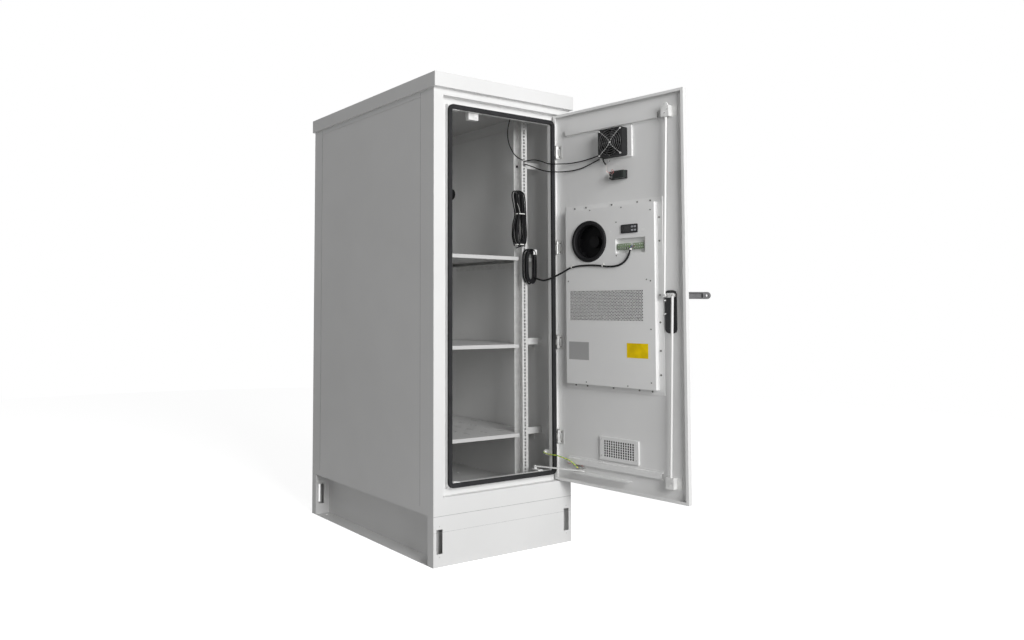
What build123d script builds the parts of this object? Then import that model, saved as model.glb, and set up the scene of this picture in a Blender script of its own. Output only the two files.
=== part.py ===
from build123d import *
import math
import os

# Outdoor telecom cabinet on a plinth, with its door open. Sizes are in millimetres.
# Origin: centre of the plinth's footprint at floor level. +X is right seen from the front,
# the front faces -Y, and +Z is up. The door and all it carries are drawn shut, then swung open.

# Overall sizes
WIDTH = 750.0
DEPTH = 1050.0
PLINTH_HEIGHT = 200.0
BODY_TOP = 1930.0
ROOF_HEIGHT = 60.0
ROOF_FRONT_OVERHANG = 24.0
ROOF_SIDE_OVERHANG = 11.0
SHEET = 2.0
WALL = 30.0
FLOOR_THICK = 20.0
CEILING_DROP = 35.0
SEAM = 1.0

# Front frame, door recess and gasket
FRONT_FRAME_DEPTH = 95.0
REAR_FRAME_DEPTH = 80.0
FACE_SIDE = 48.0
FACE_BOTTOM = 72.0
FACE_TOP = 26.0
RECESS_DEPTH = 30.0
CHANNEL_SIDE = 32.0
CHANNEL_END = 30.0
RIM_SET_BACK = 14.0
FRAME_BACK_DEPTH = 60.0
GASKET_WIDTH = 17.5
GASKET_DEPTH = 9.7
GASKET_RADIUS = 24.0

# Door, hinges and swing
DOOR_GAP = 4.5
DOOR_THICK = 22.0
DOOR_LIP = 11.5
OPEN_ANGLE = 97.0
HINGE_INSET = 14.5
HINGE_SET_BACK = 10.0
HINGE_HEIGHTS = (463.5, 880.5, 1302.5, 1733.0)
HINGE_LENGTH = 60.0
HINGE_ARM_LENGTH = 26.0
HINGE_PIN_RADIUS = 2.5
KNUCKLE_RADIUS = 4.8
RUNNING = 0.05
CLEAR = 0.4
SEAT = 0.3

# Plinth
BEAM_DEPTH = 40.0
PLINTH_SIDE_RECESS = 75.0
LIFT_SLOT = (30.0, 96.0)
LIFT_SLOT_X = 345.0
LIFT_SLOT_Z = 100.0
ANCHOR_X = 330.0
ANCHOR_Y = 450.0
ANCHOR_RADIUS = 7.0

# Floor
CABLE_ENTRY_RADIUS = 21.0
CABLE_ENTRY_X = (-105.0, -35.0, 35.0, 105.0)
CABLE_ENTRY_INSET = 195.0

# Rack
RACK_UNIT = 44.45
RACK_HOLE_STEPS = (6.35, 22.225, 38.1)
RACK_UNITS = 36
RACK_HOLE = 9.5
RACK_HOLE_X = 232.5
RACK_FIRST_UNIT_Z = 285.6
RAIL_FACE_WIDTH = 33.0
RAIL_DEPTH = 56.0
RAIL_HOLE_EDGE = 16.0
RACK_FRONT_Y = 139.0
RACK_REAR_GAP = 166.0
RAIL_TOP_GAP = 30.0
REAR_RAIL_HOLES = 26
LAMP_X = -144.0
LAMP_WIDTH = 54.0
LAMP_DEPTH = 24.0
LAMP_DROP = 28.5
SHELF_TOPS = (466.0, 867.0, 1266.0)
SHELF_SHEET = 2.0
SHELF_EDGE = 16.0
SHELF_FRONT_Y = 159.0
SHELF_SLOT = (8.0, 60.0)
BRACKET_HEIGHTS = (475.0, 880.0, 1690.0)
BRACKET_HEIGHT = 29.0

# Latch
LATCH_X = -247.5
LATCH_Z = 1083.0
CAM_THROW = 18.0
CAM_PLANE = 12.0
CAM_THICK = 4.0
ROD_DIAMETER = 10.0
ROD_PLANE = 23.0
ROD_EYE_RADIUS = 8.0
ROD_EYE_THICK = 6.0
ROD_REST_GAP = 4.5
PIN_RADIUS = 3.0
GUIDE_HEIGHTS = (351.0, 1816.0)
GUIDE_SLOT = 20.0
SPINDLE_RADIUS = 6.0
LEVER_LENGTH = 148.0
LEVER_WIDTH = 28.0
LEVER_THICK = 12.0
LEVER_PIVOT_OUT = 12.0
LEVER_LIFT = 52.0

# Air conditioner set in the door
AC_COVER_X = (-194.0, 251.5)
AC_COVER_Z = (706.0, 1459.5)
AC_COVER_DEPTH = 24.0
AC_FLANGE = 21.0
AC_FLANGE_HINGE = 14.0
AC_FLANGE_THICK = 3.0
AC_OUTSIDE_DEPTH = 150.0
AC_INLET_X = 125.0
AC_INLET_Z = 1318.0
AC_INLET_RADIUS = 89.0
AC_INLET_THROAT = 74.0
AC_GRILLE_X = (-137.0, 231.0)
AC_GRILLE_Z = (979.5, 1106.5)
DISPLAY_CENTRE = (-78.0, 1359.0)
DISPLAY_SIZE = (78.0, 36.0)
KEY_SIZE = (9.0, 7.0)
KEY_TRAVEL = 0.8
TERMINAL_X = (-150.0, -9.0)
TERMINAL_Z = (1259.0, 1321.0)
TERMINAL_DEPTH = 14.0
TERMINAL_BLOCKS_X = ((-75.5, -16.0), (-136.0, -93.5))
TERMINAL_BLOCKS_Z = (1275.0, 1299.0)

# Fan, thermostat and door vents
FAN_CENTRE = (-0.5, 1727.0)
FAN_SIZE = 119.0
FAN_DEPTH = 38.0
FAN_RIM = 2.5
FAN_TIP_GAP = 3.0
FAN_EYE_OUT = 17.0
FAN_PLATE_X = (-79.5, 79.0)
FAN_PLATE_Z = (1662.0, 1792.0)
FAN_PLATE_RISE = 9.0
THERMOSTAT_CENTRE = (-16.0, 1590.5)
VENT_CENTRE = (-0.5, 444.0)
VENT_PLATE = (188.0, 96.0)
VENT_HOLES = (13, 7)
VENT_HOLE = 7.6
VENT_PITCH = (11.4, 10.0)
STIFFENER_HEIGHTS = (369.0, 1813.0)
STIFFENER_X = (-202.0, 261.0)
STIFFENER_HEIGHT = 40.0
STIFFENER_RISE = 12.0

# Door stay
STAY_PIVOT = (224.0, 65.0)
STAY_Z = 334.0
STAY_LENGTH = 215.0
STAY_WIDTH = 14.0
STAY_THICK = 4.0
STAY_TRAY_X = (-58.0, 219.0)
STAY_TRAY_OUT = 18.5
STAY_TRAY_Z = 326.5
STAY_TRAY_HEIGHT = 5.8
STAY_FOOT = 33.0

# Values worked out from the sizes above
HALF = WIDTH / 2
FRONT = -DEPTH / 2
BACK = DEPTH / 2
ROOF_TOP = BODY_TOP + ROOF_HEIGHT
CEILING = ROOF_TOP - CEILING_DROP
FLOOR = PLINTH_HEIGHT + FLOOR_THICK
RECESS_HALF = HALF - FACE_SIDE
RECESS_Z = (PLINTH_HEIGHT + FACE_BOTTOM, BODY_TOP - FACE_TOP)
RIM_HALF = RECESS_HALF - CHANNEL_SIDE
RIM_Z = (RECESS_Z[0] + CHANNEL_END, RECESS_Z[1] - CHANNEL_END)
MOUTH_HALF = RIM_HALF - GASKET_WIDTH
MOUTH_Z = (RIM_Z[0] + GASKET_WIDTH, RIM_Z[1] - GASKET_WIDTH)
DOOR_HALF = RECESS_HALF - DOOR_GAP
DOOR_Z = (RECESS_Z[0] + DOOR_GAP, RECESS_Z[1] - DOOR_GAP)
HINGE_X = RECESS_HALF - HINGE_INSET
HINGE_Y = FRONT + HINGE_SET_BACK
LINING = HALF - WALL
PANEL_Y = (FRONT + FRONT_FRAME_DEPTH, BACK - REAR_FRAME_DEPTH)
RAIL_OUTER = RACK_HOLE_X + RAIL_HOLE_EDGE + SHEET
RAIL_INNER = RAIL_OUTER - RAIL_FACE_WIDTH
RACK_Y = FRONT + RACK_FRONT_Y
RACK_SPAN = DEPTH - RACK_FRONT_Y - RACK_REAR_GAP
CABLE_ENTRY_Y = BACK - CABLE_ENTRY_INSET
REAR_MOUTH = LINING - 20.0
REAR_MOUTH_Z = (FLOOR + 20.0, CEILING - 60.0)
SILL_TOP = PLINTH_HEIGHT + 65.0
TOP_RAIL_BOTTOM = BODY_TOP - 22.0
AC_FACE = SHEET + AC_FLANGE_THICK + AC_COVER_DEPTH
FAN_BASE = SHEET + FAN_PLATE_RISE
FAN_BORE = FAN_SIZE / 2 - FAN_RIM
DISH_Z = (LATCH_Z - 150.0, LATCH_Z + 20.0)
KEY_PLACES = [
    (DISPLAY_CENTRE[0] - 15.0 - column * 13.0, DISPLAY_CENTRE[1] + 7.0 - row * 14.0)
    for column in range(2) for row in range(2)
]


def slab(x, y, z):
    """A box between pairs of limits."""
    size = (x[1] - x[0], y[1] - y[0], z[1] - z[0])
    centre = ((x[0] + x[1]) / 2, (y[0] + y[1]) / 2, (z[0] + z[1]) / 2)
    return Pos(*centre) * Box(*size)


def hollow(x, y, z, wall=SHEET):
    """A closed folded-sheet box with an even wall."""
    inner = [(lo + wall, hi - wall) for lo, hi in (x, y, z)]
    return slab(x, y, z) - slab(*inner)


def collar(window, outer, inner, y):
    """A rectangular ring round a window (half width, bottom, top) between two growths."""
    half, bottom, top = window
    full = slab((-half - outer, half + outer), y, (bottom - outer, top + outer))
    return full - slab((-half - inner, half + inner), (y[0] - 1, y[1] + 1), (bottom - inner, top + inner))


def wall_plate(sketch, y):
    """A flat sheet drawn as seen from the front (X right, Z up) between two depths."""
    return extrude(Plane.XZ.offset(-y[1]) * sketch, amount=y[1] - y[0])


def bar_y(radius, x, y, z):
    """A round bar along Y."""
    return wall_plate(Pos(x, z) * Circle(radius), y)


def bar_z(radius, x, y, z):
    """A round bar along Z."""
    return extrude(Plane.XY.offset(z[0]) * Pos(x, y) * Circle(radius), amount=z[1] - z[0])


def depths(near, far):
    """Two depths behind the front plane; negative values stand in front of it."""
    return (FRONT + near, FRONT + far)


def swing(shape):
    """Turn what the door carries from shut to its open rest place."""
    return shape.rotate(Axis((HINGE_X, HINGE_Y, 0), (0, 0, 1)), OPEN_ANGLE)


def mirrored(shape):
    return mirror(shape, Plane.YZ)


def door_point(x, depth, z):
    """Where a point of the shut door lies once the door is open."""
    angle = math.radians(OPEN_ANGLE)
    along = x - HINGE_X
    across = depth - HINGE_SET_BACK
    return (
        HINGE_X + along * math.cos(angle) - across * math.sin(angle),
        HINGE_Y + along * math.sin(angle) + across * math.cos(angle),
        z,
    )


# Plinth


def plinth_beam():
    x = (-HALF, HALF)
    beam = hollow(x, (FRONT, FRONT + BEAM_DEPTH), (0, PLINTH_HEIGHT))
    slots = [
        slab((cx - LIFT_SLOT[0] / 2, cx + LIFT_SLOT[0] / 2), (FRONT - 1, FRONT + BEAM_DEPTH + 1),
             (LIFT_SLOT_Z - LIFT_SLOT[1] / 2, LIFT_SLOT_Z + LIFT_SLOT[1] / 2))
        for cx in (-LIFT_SLOT_X, LIFT_SLOT_X)
    ]
    return beam - slots


def plinth_side():
    """Recessed side wall with its outward floor flange and top flange."""
    y = (FRONT + BEAM_DEPTH, BACK - BEAM_DEPTH)
    web_x = (-HALF + PLINTH_SIDE_RECESS, -HALF + PLINTH_SIDE_RECESS + SHEET)
    flange_x = (-HALF, web_x[1])
    part = slab(web_x, y, (0, PLINTH_HEIGHT))
    part += slab(flange_x, y, (0, SHEET))
    part += slab(flange_x, y, (PLINTH_HEIGHT - SHEET, PLINTH_HEIGHT))
    holes = [bar_z(ANCHOR_RADIUS, -ANCHOR_X, cy, (-1, SHEET + 1)) for cy in (-ANCHOR_Y, ANCHOR_Y)]
    return part - holes


# Body


def front_frame():
    """Folded door surround: face, recess, channel, raised rim and the closing strips behind."""
    window = (MOUTH_HALF, *MOUTH_Z)
    x = (-HALF, HALF)
    y = (FRONT, FRONT + FRONT_FRAME_DEPTH)
    z = (PLINTH_HEIGHT, CEILING)
    part = slab(x, y, z)
    part -= slab((x[0] + SHEET, x[1] - SHEET), (y[0] - 1, y[1] + 1), (z[0] + SHEET, z[1] - SHEET))
    recess = slab((-RECESS_HALF, RECESS_HALF), (FRONT - 1, FRONT + SHEET + 1), RECESS_Z)
    part += slab(x, (FRONT, FRONT + SHEET), z) - recess
    recess_window = (RECESS_HALF, *RECESS_Z)
    part += collar(recess_window, SHEET, 0, depths(0, RECESS_DEPTH + SHEET))
    floor = slab((-RECESS_HALF - SHEET, RECESS_HALF + SHEET), depths(RECESS_DEPTH, RECESS_DEPTH + SHEET),
                 (RECESS_Z[0] - SHEET, RECESS_Z[1] + SHEET))
    mouth = slab((-MOUTH_HALF, MOUTH_HALF), (FRONT - 1, FRONT + FRONT_FRAME_DEPTH), MOUTH_Z)
    part += floor - mouth
    part += collar(window, GASKET_WIDTH, GASKET_WIDTH - SHEET, depths(RIM_SET_BACK, RECESS_DEPTH + 1))
    part += collar(window, GASKET_WIDTH, 0, depths(RIM_SET_BACK, RIM_SET_BACK + SHEET))
    part += collar(window, SHEET, 0, depths(RIM_SET_BACK, RECESS_DEPTH + SHEET))
    back = slab((x[0] + SHEET, x[1] - SHEET), depths(FRAME_BACK_DEPTH - SHEET, FRAME_BACK_DEPTH),
                (z[0] + SHEET, z[1] - SHEET))
    part += back - slab((-LINING, LINING), (FRONT, FRONT + FRONT_FRAME_DEPTH), (FLOOR, CEILING))
    for edge in MOUTH_Z:
        part -= slab((LATCH_X - GUIDE_SLOT / 2, LATCH_X + GUIDE_SLOT / 2),
                     depths(ROD_PLANE - ROD_DIAMETER / 2 - 1, ROD_PLANE + ROD_DIAMETER / 2 + 1),
                     (edge - SHEET - 1, edge + SHEET + 1))
    return part


def rod_keeper(edge, side):
    """Slide-in bush plate that the latch rod's tip enters; side is +1 for the top one."""
    half = (GUIDE_SLOT + 14) / 2
    z = sorted((edge, edge - side * 3.0))
    plate = slab((LATCH_X - half, LATCH_X + half), depths(RIM_SET_BACK + SHEET, ROD_PLANE + 14), z)
    slot = slab((LATCH_X - GUIDE_SLOT / 2, LATCH_X + GUIDE_SLOT / 2),
                depths(ROD_PLANE - ROD_DIAMETER / 2 - 1, ROD_PLANE + ROD_DIAMETER / 2 + 1),
                (z[0] - 1, z[1] + 1))
    return plate - slot


def rear_frame():
    x = (-HALF, HALF)
    y = (BACK - REAR_FRAME_DEPTH, BACK)
    z = (PLINTH_HEIGHT, CEILING)
    part = slab(x, y, z)
    part -= slab((x[0] + SHEET, x[1] - SHEET), (y[0] - 1, y[1] + 1), (z[0] + SHEET, z[1] - SHEET))
    landing = slab((x[0] + SHEET, x[1] - SHEET), (BACK - 5.0, BACK - 5.0 + SHEET),
                   (z[0] + SHEET, z[1] - SHEET))
    return part + (landing - slab((-REAR_MOUTH, REAR_MOUTH), (BACK - 8, BACK), REAR_MOUTH_Z))


def rear_panel():
    """Bolt-on insulated back: a tray that fits the rear opening, with a flange outside."""
    y = (BACK - WALL, BACK - 3.0)
    tray = hollow((-REAR_MOUTH + CLEAR, REAR_MOUTH - CLEAR), y,
                  (REAR_MOUTH_Z[0] + CLEAR, REAR_MOUTH_Z[1] - CLEAR))
    flange = slab((-REAR_MOUTH - 14, REAR_MOUTH + 14), (BACK - 3.0, BACK - 3.0 + SHEET),
                  (REAR_MOUTH_Z[0] - 14, REAR_MOUTH_Z[1] + 14))
    return tray + flange


def side_frame():
    """Welded sill and top rail that carry one side panel."""
    x = (-HALF, -LINING)
    sill = hollow(x, PANEL_Y, (PLINTH_HEIGHT, SILL_TOP))
    top_rail = hollow(x, PANEL_Y, (TOP_RAIL_BOTTOM, CEILING))
    return Compound([sill, top_rail])


def side_panel():
    """Double-skinned side panel, with a shallow groove down its rear edge."""
    y = (PANEL_Y[0] + SEAM, PANEL_Y[1] - 2 * SEAM)
    return hollow((-HALF, -LINING), y, (SILL_TOP, TOP_RAIL_BOTTOM - SEAM))


def floor_pan():
    """Floor tray with four round cable entries near the back."""
    edge = LINING - CLEAR
    y = (FRONT + FRAME_BACK_DEPTH + CLEAR, BACK - WALL - 1)
    tray = slab((-edge, edge), y, (PLINTH_HEIGHT + SHEET, FLOOR))
    tray -= slab((-edge + SHEET, edge - SHEET), (y[0] + SHEET, y[1] - SHEET), (PLINTH_HEIGHT, FLOOR - SHEET))
    entries = [bar_z(CABLE_ENTRY_RADIUS, x, CABLE_ENTRY_Y, (PLINTH_HEIGHT, FLOOR + 1)) for x in CABLE_ENTRY_X]
    return tray - entries


def ceiling_panel():
    """Insulated ceiling under the roof."""
    x = (-HALF + SHEET, HALF - SHEET)
    return hollow(x, (FRONT + SHEET, BACK - SHEET), (CEILING, ROOF_TOP - SHEET))


def roof_cap():
    x = (-HALF - ROOF_SIDE_OVERHANG, HALF + ROOF_SIDE_OVERHANG)
    y = (FRONT - ROOF_FRONT_OVERHANG, BACK + ROOF_SIDE_OVERHANG)
    cap = slab(x, y, (BODY_TOP, ROOF_TOP))
    cap = fillet(cap.edges().filter_by(Axis.Z), 4.0)
    cap -= slab((x[0] + SHEET, x[1] - SHEET), (y[0] + SHEET, y[1] - SHEET),
                (BODY_TOP + SHEET, ROOF_TOP - SHEET))
    return cap - slab((-HALF - CLEAR, HALF + CLEAR), (FRONT - CLEAR, BACK + CLEAR),
                      (BODY_TOP - 1, BODY_TOP + SHEET + 1))


def door_gasket():
    y = depths(RIM_SET_BACK - GASKET_DEPTH, RIM_SET_BACK)
    middle = (MOUTH_Z[0] + MOUTH_Z[1]) / 2
    height = MOUTH_Z[1] - MOUTH_Z[0]
    outer = RectangleRounded(2 * RIM_HALF, height + 2 * GASKET_WIDTH, GASKET_RADIUS)
    inner = RectangleRounded(2 * MOUTH_HALF, height, GASKET_RADIUS - GASKET_WIDTH)
    return wall_plate(Pos(0, middle) * (outer - inner), y)


# Rack


def rack_rail_profile():
    """C-shaped rail seen from above: hole face, web on the outer side, rear return."""
    face = Pos(RAIL_OUTER - RAIL_FACE_WIDTH / 2, SHEET / 2) * Rectangle(RAIL_FACE_WIDTH, SHEET)
    web = Pos(RAIL_OUTER - SHEET / 2, RAIL_DEPTH / 2) * Rectangle(SHEET, RAIL_DEPTH)
    rear = Pos(RAIL_OUTER - RAIL_FACE_WIDTH / 2, RAIL_DEPTH - SHEET / 2) * Rectangle(RAIL_FACE_WIDTH, SHEET)
    return face + web + rear


def rack_rail(heights):
    """Right-hand front rail, with its face at Y = 0 and square holes at the given heights."""
    length = CEILING - RAIL_TOP_GAP - FLOOR
    rail = extrude(Plane.XY.offset(FLOOR) * rack_rail_profile(), amount=length)
    holes = [Pos(RACK_HOLE_X, SHEET / 2, z) * Box(RACK_HOLE, SHEET + 2, RACK_HOLE) for z in heights]
    return rail - holes


def rack_hole_heights():
    """Three holes in each rack unit, at the standard steps."""
    units = [RACK_FIRST_UNIT_Z + unit * RACK_UNIT for unit in range(RACK_UNITS)]
    return [base + step for base in units for step in RACK_HOLE_STEPS]


def rear_hole_heights():
    """The rear rails keep only one hole in every unit or so."""
    first, last = RACK_FIRST_UNIT_Z, RACK_FIRST_UNIT_Z + RACK_UNITS * RACK_UNIT
    step = (last - first) / REAR_RAIL_HOLES
    return [first + (index + 0.5) * step for index in range(REAR_RAIL_HOLES)]


def rail_brackets():
    """Angle brackets between the rails' outer webs and the side linings."""
    pieces = []
    for z in BRACKET_HEIGHTS:
        span = (z - BRACKET_HEIGHT / 2, z + BRACKET_HEIGHT / 2)
        for y, toward in ((RACK_Y + 12.0, 1), (RACK_Y + RACK_SPAN - 12.0, -1)):
            face = sorted((y, y + toward * SHEET))
            foot = sorted((y, y + toward * 18.0))
            angle = slab((RAIL_OUTER, LINING), face, span) + slab((LINING - SHEET, LINING), foot, span)
            pieces += [angle, mirrored(angle)]
    return pieces


def shelf(top):
    """Folded shelf: wide behind the front rails, with a narrower nose between them."""
    nose = RAIL_INNER - 3.0
    wide = LINING - 6.0
    front = FRONT + SHELF_FRONT_Y
    shoulder = RACK_Y + RAIL_DEPTH + 4.0
    rear = RACK_Y + RACK_SPAN - RAIL_DEPTH - 4.0
    z = (top - SHELF_EDGE, top)
    part = slab((-nose, nose), (front, shoulder + 1), z) + slab((-wide, wide), (shoulder, rear), z)
    fold = SHELF_SHEET
    inside = (z[0] - 1, z[1] - fold)
    under = slab((-nose + fold, nose - fold), (front + fold, shoulder + 2), inside)
    under += slab((-wide + fold, wide - fold), (shoulder + fold, rear - fold), inside)
    slot = Box(SHELF_SLOT[0], SHELF_SLOT[1], 3 * fold)
    side_slot = Box(SHELF_SLOT[0] + 2, SHELF_SLOT[1], 3 * fold)
    slots = [Pos(x, y, top) * slot for x in (-200, -100, 0, 100, 200) for y in (-250, -150, -50, 50)]
    slots += [Pos(x, y, top) * side_slot for x in (-313, 313) for y in (-206, 94)]
    return part - under - slots


def shelf_supports():
    """Angles along the side linings under each shelf."""
    pieces = []
    y = (RACK_Y + RAIL_DEPTH + 6.0, RACK_Y + RACK_SPAN - RAIL_DEPTH - 6.0)
    for top in SHELF_TOPS:
        under = top - SHELF_EDGE
        leg = slab((LINING - SHEET, LINING), y, (under - 25.0, under))
        ledge = slab((LINING - 26.0, LINING), y, (under - SHEET, under))
        pieces += [leg + ledge, mirrored(leg + ledge)]
    return pieces


def cabinet_lamp():
    """Small light on the back of the door surround, reaching down into the opening."""
    x = (LAMP_X - LAMP_WIDTH / 2, LAMP_X + LAMP_WIDTH / 2)
    near = RECESS_DEPTH + SHEET
    y = depths(near, near + LAMP_DEPTH)
    housing = slab(x, y, (MOUTH_Z[1] - LAMP_DROP, MOUTH_Z[1] + 36.0))
    return fillet(housing.edges().filter_by(Axis.Z), 4.0)


# Hinges


def hinge_arm_z(z):
    return (z - HINGE_ARM_LENGTH / 2, z + HINGE_ARM_LENGTH / 2)


def hinge_leaf_z(z, more=0.0):
    return (z - HINGE_LENGTH / 2 - more, z + HINGE_LENGTH / 2 + more)


def frame_hinge(z):
    """Frame half: a leaf on the recess floor and an arm out to the pin."""
    arm_z = hinge_arm_z(z)
    leaf = slab((HINGE_X - 14, RECESS_HALF - 1), depths(RECESS_DEPTH - 3.0, RECESS_DEPTH), hinge_leaf_z(z))
    arm = slab((HINGE_X - 3.5, HINGE_X + 3.5), depths(HINGE_SET_BACK, RECESS_DEPTH - 1), arm_z)
    knuckle = bar_z(KNUCKLE_RADIUS, HINGE_X, HINGE_Y, arm_z)
    bore = bar_z(HINGE_PIN_RADIUS + RUNNING, HINGE_X, HINGE_Y, (arm_z[0] - 1, arm_z[1] + 1))
    return leaf + arm + knuckle - bore


def door_hinge(z):
    """Door half: a leaf on the skin, two knuckles and the fixed pin."""
    leaf = slab((HINGE_X - 24, HINGE_X + 6), depths(SHEET, 2 * SHEET), hinge_leaf_z(z))
    arm_z = hinge_arm_z(z)
    recess = slab((HINGE_X - 5.5, HINGE_X + 7), depths(SHEET - 1, SHEET + 4.0),
                  (arm_z[0] - 0.5, arm_z[1] + 0.5))
    half = leaf - recess
    for ear_z in ((arm_z[0] - 14.0, arm_z[0] - 0.5), (arm_z[1] + 0.5, arm_z[1] + 14.0)):
        half += bar_z(KNUCKLE_RADIUS, HINGE_X, HINGE_Y, ear_z)
        half += slab((HINGE_X - 3.5, HINGE_X + 3.5), depths(SHEET + 1, HINGE_SET_BACK), ear_z)
    return half + bar_z(HINGE_PIN_RADIUS, HINGE_X, HINGE_Y, (arm_z[0] - 15.5, arm_z[1] + 15.5))


# Door


def louvres(centre, width, rows, pitch, rise=9.0):
    """Cut-outs and the sloping hoods pressed outwards over them."""
    cuts = []
    hoods = []
    for row in range(rows):
        z = centre[1] + (row - (rows - 1) / 2) * pitch
        x = (centre[0] - width / 2, centre[0] + width / 2)
        cuts.append(slab(x, depths(-1, SHEET + 1), (z - 4.0, z + 4.0)))
        profile = Polygon((0, 6.5), (0, 4.0), (-rise, -4.0), (-rise - 1.5, -4.0), (-2.0, 6.5), align=None)
        hoods.append(Pos(x[0], FRONT, z) * extrude(Plane.YZ * profile, amount=width))
    return cuts, hoods


def door_panel():
    """Pan with turned-back edges and inner lips, notched at the hinges."""
    x = (-DOOR_HALF, DOOR_HALF)
    window = (DOOR_HALF, *DOOR_Z)
    pan = slab(x, depths(0, SHEET), DOOR_Z)
    pan += collar(window, 0, -SHEET, depths(0, DOOR_THICK))
    pan += collar(window, 0, -DOOR_LIP, depths(DOOR_THICK - SHEET, DOOR_THICK))
    for z in HINGE_HEIGHTS:
        pan -= slab((HINGE_X - 6, HINGE_X + 20), depths(SHEET, DOOR_THICK + 1), hinge_leaf_z(z, 3.0))
    ac_hole = slab((AC_COVER_X[0] + 4, AC_COVER_X[1] - 4), depths(-1, SHEET + 1),
                   (AC_COVER_Z[0] + 4, AC_COVER_Z[1] - 4))
    dish_hole = slab((LATCH_X - 22, LATCH_X + 22), depths(-1, SHEET + 1), (DISH_Z[0] + 4, DISH_Z[1] - 4))
    pan = pan - ac_hole - dish_hole
    for centre, width, rows, pitch in ((FAN_CENTRE, 110.0, 5, 21.0), (VENT_CENTRE, 150.0, 4, 20.0)):
        cuts, hoods = louvres(centre, width, rows, pitch)
        for hood in hoods:
            pan += hood
        pan -= cuts
    return pan


def door_stiffener(z):
    """Hat-section stiffener welded across the door."""
    y = depths(SHEET, SHEET + STIFFENER_RISE)
    foot = 8.0
    low, high = z - STIFFENER_HEIGHT / 2, z + STIFFENER_HEIGHT / 2
    part = slab(STIFFENER_X, y, (low + foot, high - foot))
    part -= slab((STIFFENER_X[0] - 1, STIFFENER_X[1] + 1), depths(SHEET - 1, STIFFENER_RISE),
                 (low + foot + SHEET, high - foot - SHEET))
    for edge in ((low, low + foot + 1), (high - foot - 1, high)):
        part += slab(STIFFENER_X, depths(SHEET, 2 * SHEET), edge)
    return part


# Air conditioner


def ac_chassis():
    """Flange on the inside of the door and the weather housing outside it."""
    x, z = AC_COVER_X, AC_COVER_Z
    flange = slab((x[0] - AC_FLANGE, x[1] + AC_FLANGE_HINGE), depths(SHEET, SHEET + AC_FLANGE_THICK),
                  (z[0] - AC_FLANGE, z[1] + AC_FLANGE))
    bx = (x[0] + 5, x[1] - 5)
    bz = (z[0] + 5, z[1] - 5)
    part = flange + slab(bx, depths(-AC_OUTSIDE_DEPTH, SHEET + 1), bz)
    part -= slab((bx[0] + SHEET, bx[1] - SHEET), depths(-AC_OUTSIDE_DEPTH + SHEET, 20),
                 (bz[0] + SHEET, bz[1] - SHEET))
    for low, rows in ((AC_COVER_Z[0] + 70, 9), (AC_COVER_Z[1] - 300, 9)):
        for row in range(rows):
            zc = low + row * 24.0
            part -= slab((bx[0] + 40, bx[1] - 40), depths(-AC_OUTSIDE_DEPTH - 1, -AC_OUTSIDE_DEPTH + 3),
                         (zc - 5, zc + 5))
    return part


def ac_cover():
    """Inner cover pan with the fan mouth, grille window, controller and terminal pocket."""
    x, z = AC_COVER_X, AC_COVER_Z
    base = SHEET + AC_FLANGE_THICK
    face = base + AC_COVER_DEPTH
    part = slab(x, depths(base, face), z)
    part = fillet(part.edges().filter_by(Axis.Z), 3.0)
    part -= slab((x[0] + SHEET, x[1] - SHEET), depths(base - 1, face - SHEET), (z[0] + SHEET, z[1] - SHEET))
    pocket = slab(TERMINAL_X, depths(face - TERMINAL_DEPTH, face), TERMINAL_Z)
    part += slab((TERMINAL_X[0] - SHEET, TERMINAL_X[1] + SHEET), depths(face - TERMINAL_DEPTH - SHEET, face),
                 (TERMINAL_Z[0] - SHEET, TERMINAL_Z[1] + SHEET))
    part -= pocket
    part -= bar_y(AC_INLET_THROAT + 6, AC_INLET_X, depths(base, face + 1), AC_INLET_Z)
    part -= slab((AC_GRILLE_X[0], AC_GRILLE_X[1]), depths(face - 3, face + 1), AC_GRILLE_Z)
    dx, dz = (half - 3.0 for half in (DISPLAY_SIZE[0] / 2, DISPLAY_SIZE[1] / 2))
    cx, cz = DISPLAY_CENTRE
    return part - slab((cx - dx, cx + dx), depths(face - 3, face + 1), (cz - dz, cz + dz))


def ac_inlet_ring():
    """Bell mouth: a rolled lip on the cover that narrows to the blower's throat."""
    lip, throat = AC_INLET_RADIUS, AC_INLET_THROAT
    profile = Polyline((lip, 0), (lip, 3), (lip - 4, 7), (throat + 2, 7)) + Polyline(
        (throat + 2, 7), (throat - 2, 3), (throat - 2, -12), (throat, -12), (throat, 0), (lip, 0))
    section = make_face(profile)
    ring = revolve(Plane.XZ * section, Axis.Z)
    return Pos(AC_INLET_X, FRONT + AC_FACE, AC_INLET_Z) * Rot(-90, 0, 0) * ring


def ac_outlet_grille():
    """Slotted outlet panel set in the cover's window."""
    cx = sum(AC_GRILLE_X) / 2
    cz = sum(AC_GRILLE_Z) / 2
    width = AC_GRILLE_X[1] - AC_GRILLE_X[0]
    height = AC_GRILLE_Z[1] - AC_GRILLE_Z[0]
    sheet = Rectangle(width - 2 * SEAT, height - 2 * SEAT)
    rows = 8
    pitch = height / rows
    slots = GridLocations(width / 4, pitch, 4, rows) * Rectangle(width / 4 - 8, pitch - 5)
    return wall_plate(Pos(cx, cz) * (sheet - slots), depths(AC_FACE - SHEET, AC_FACE - 0.5))


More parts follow.
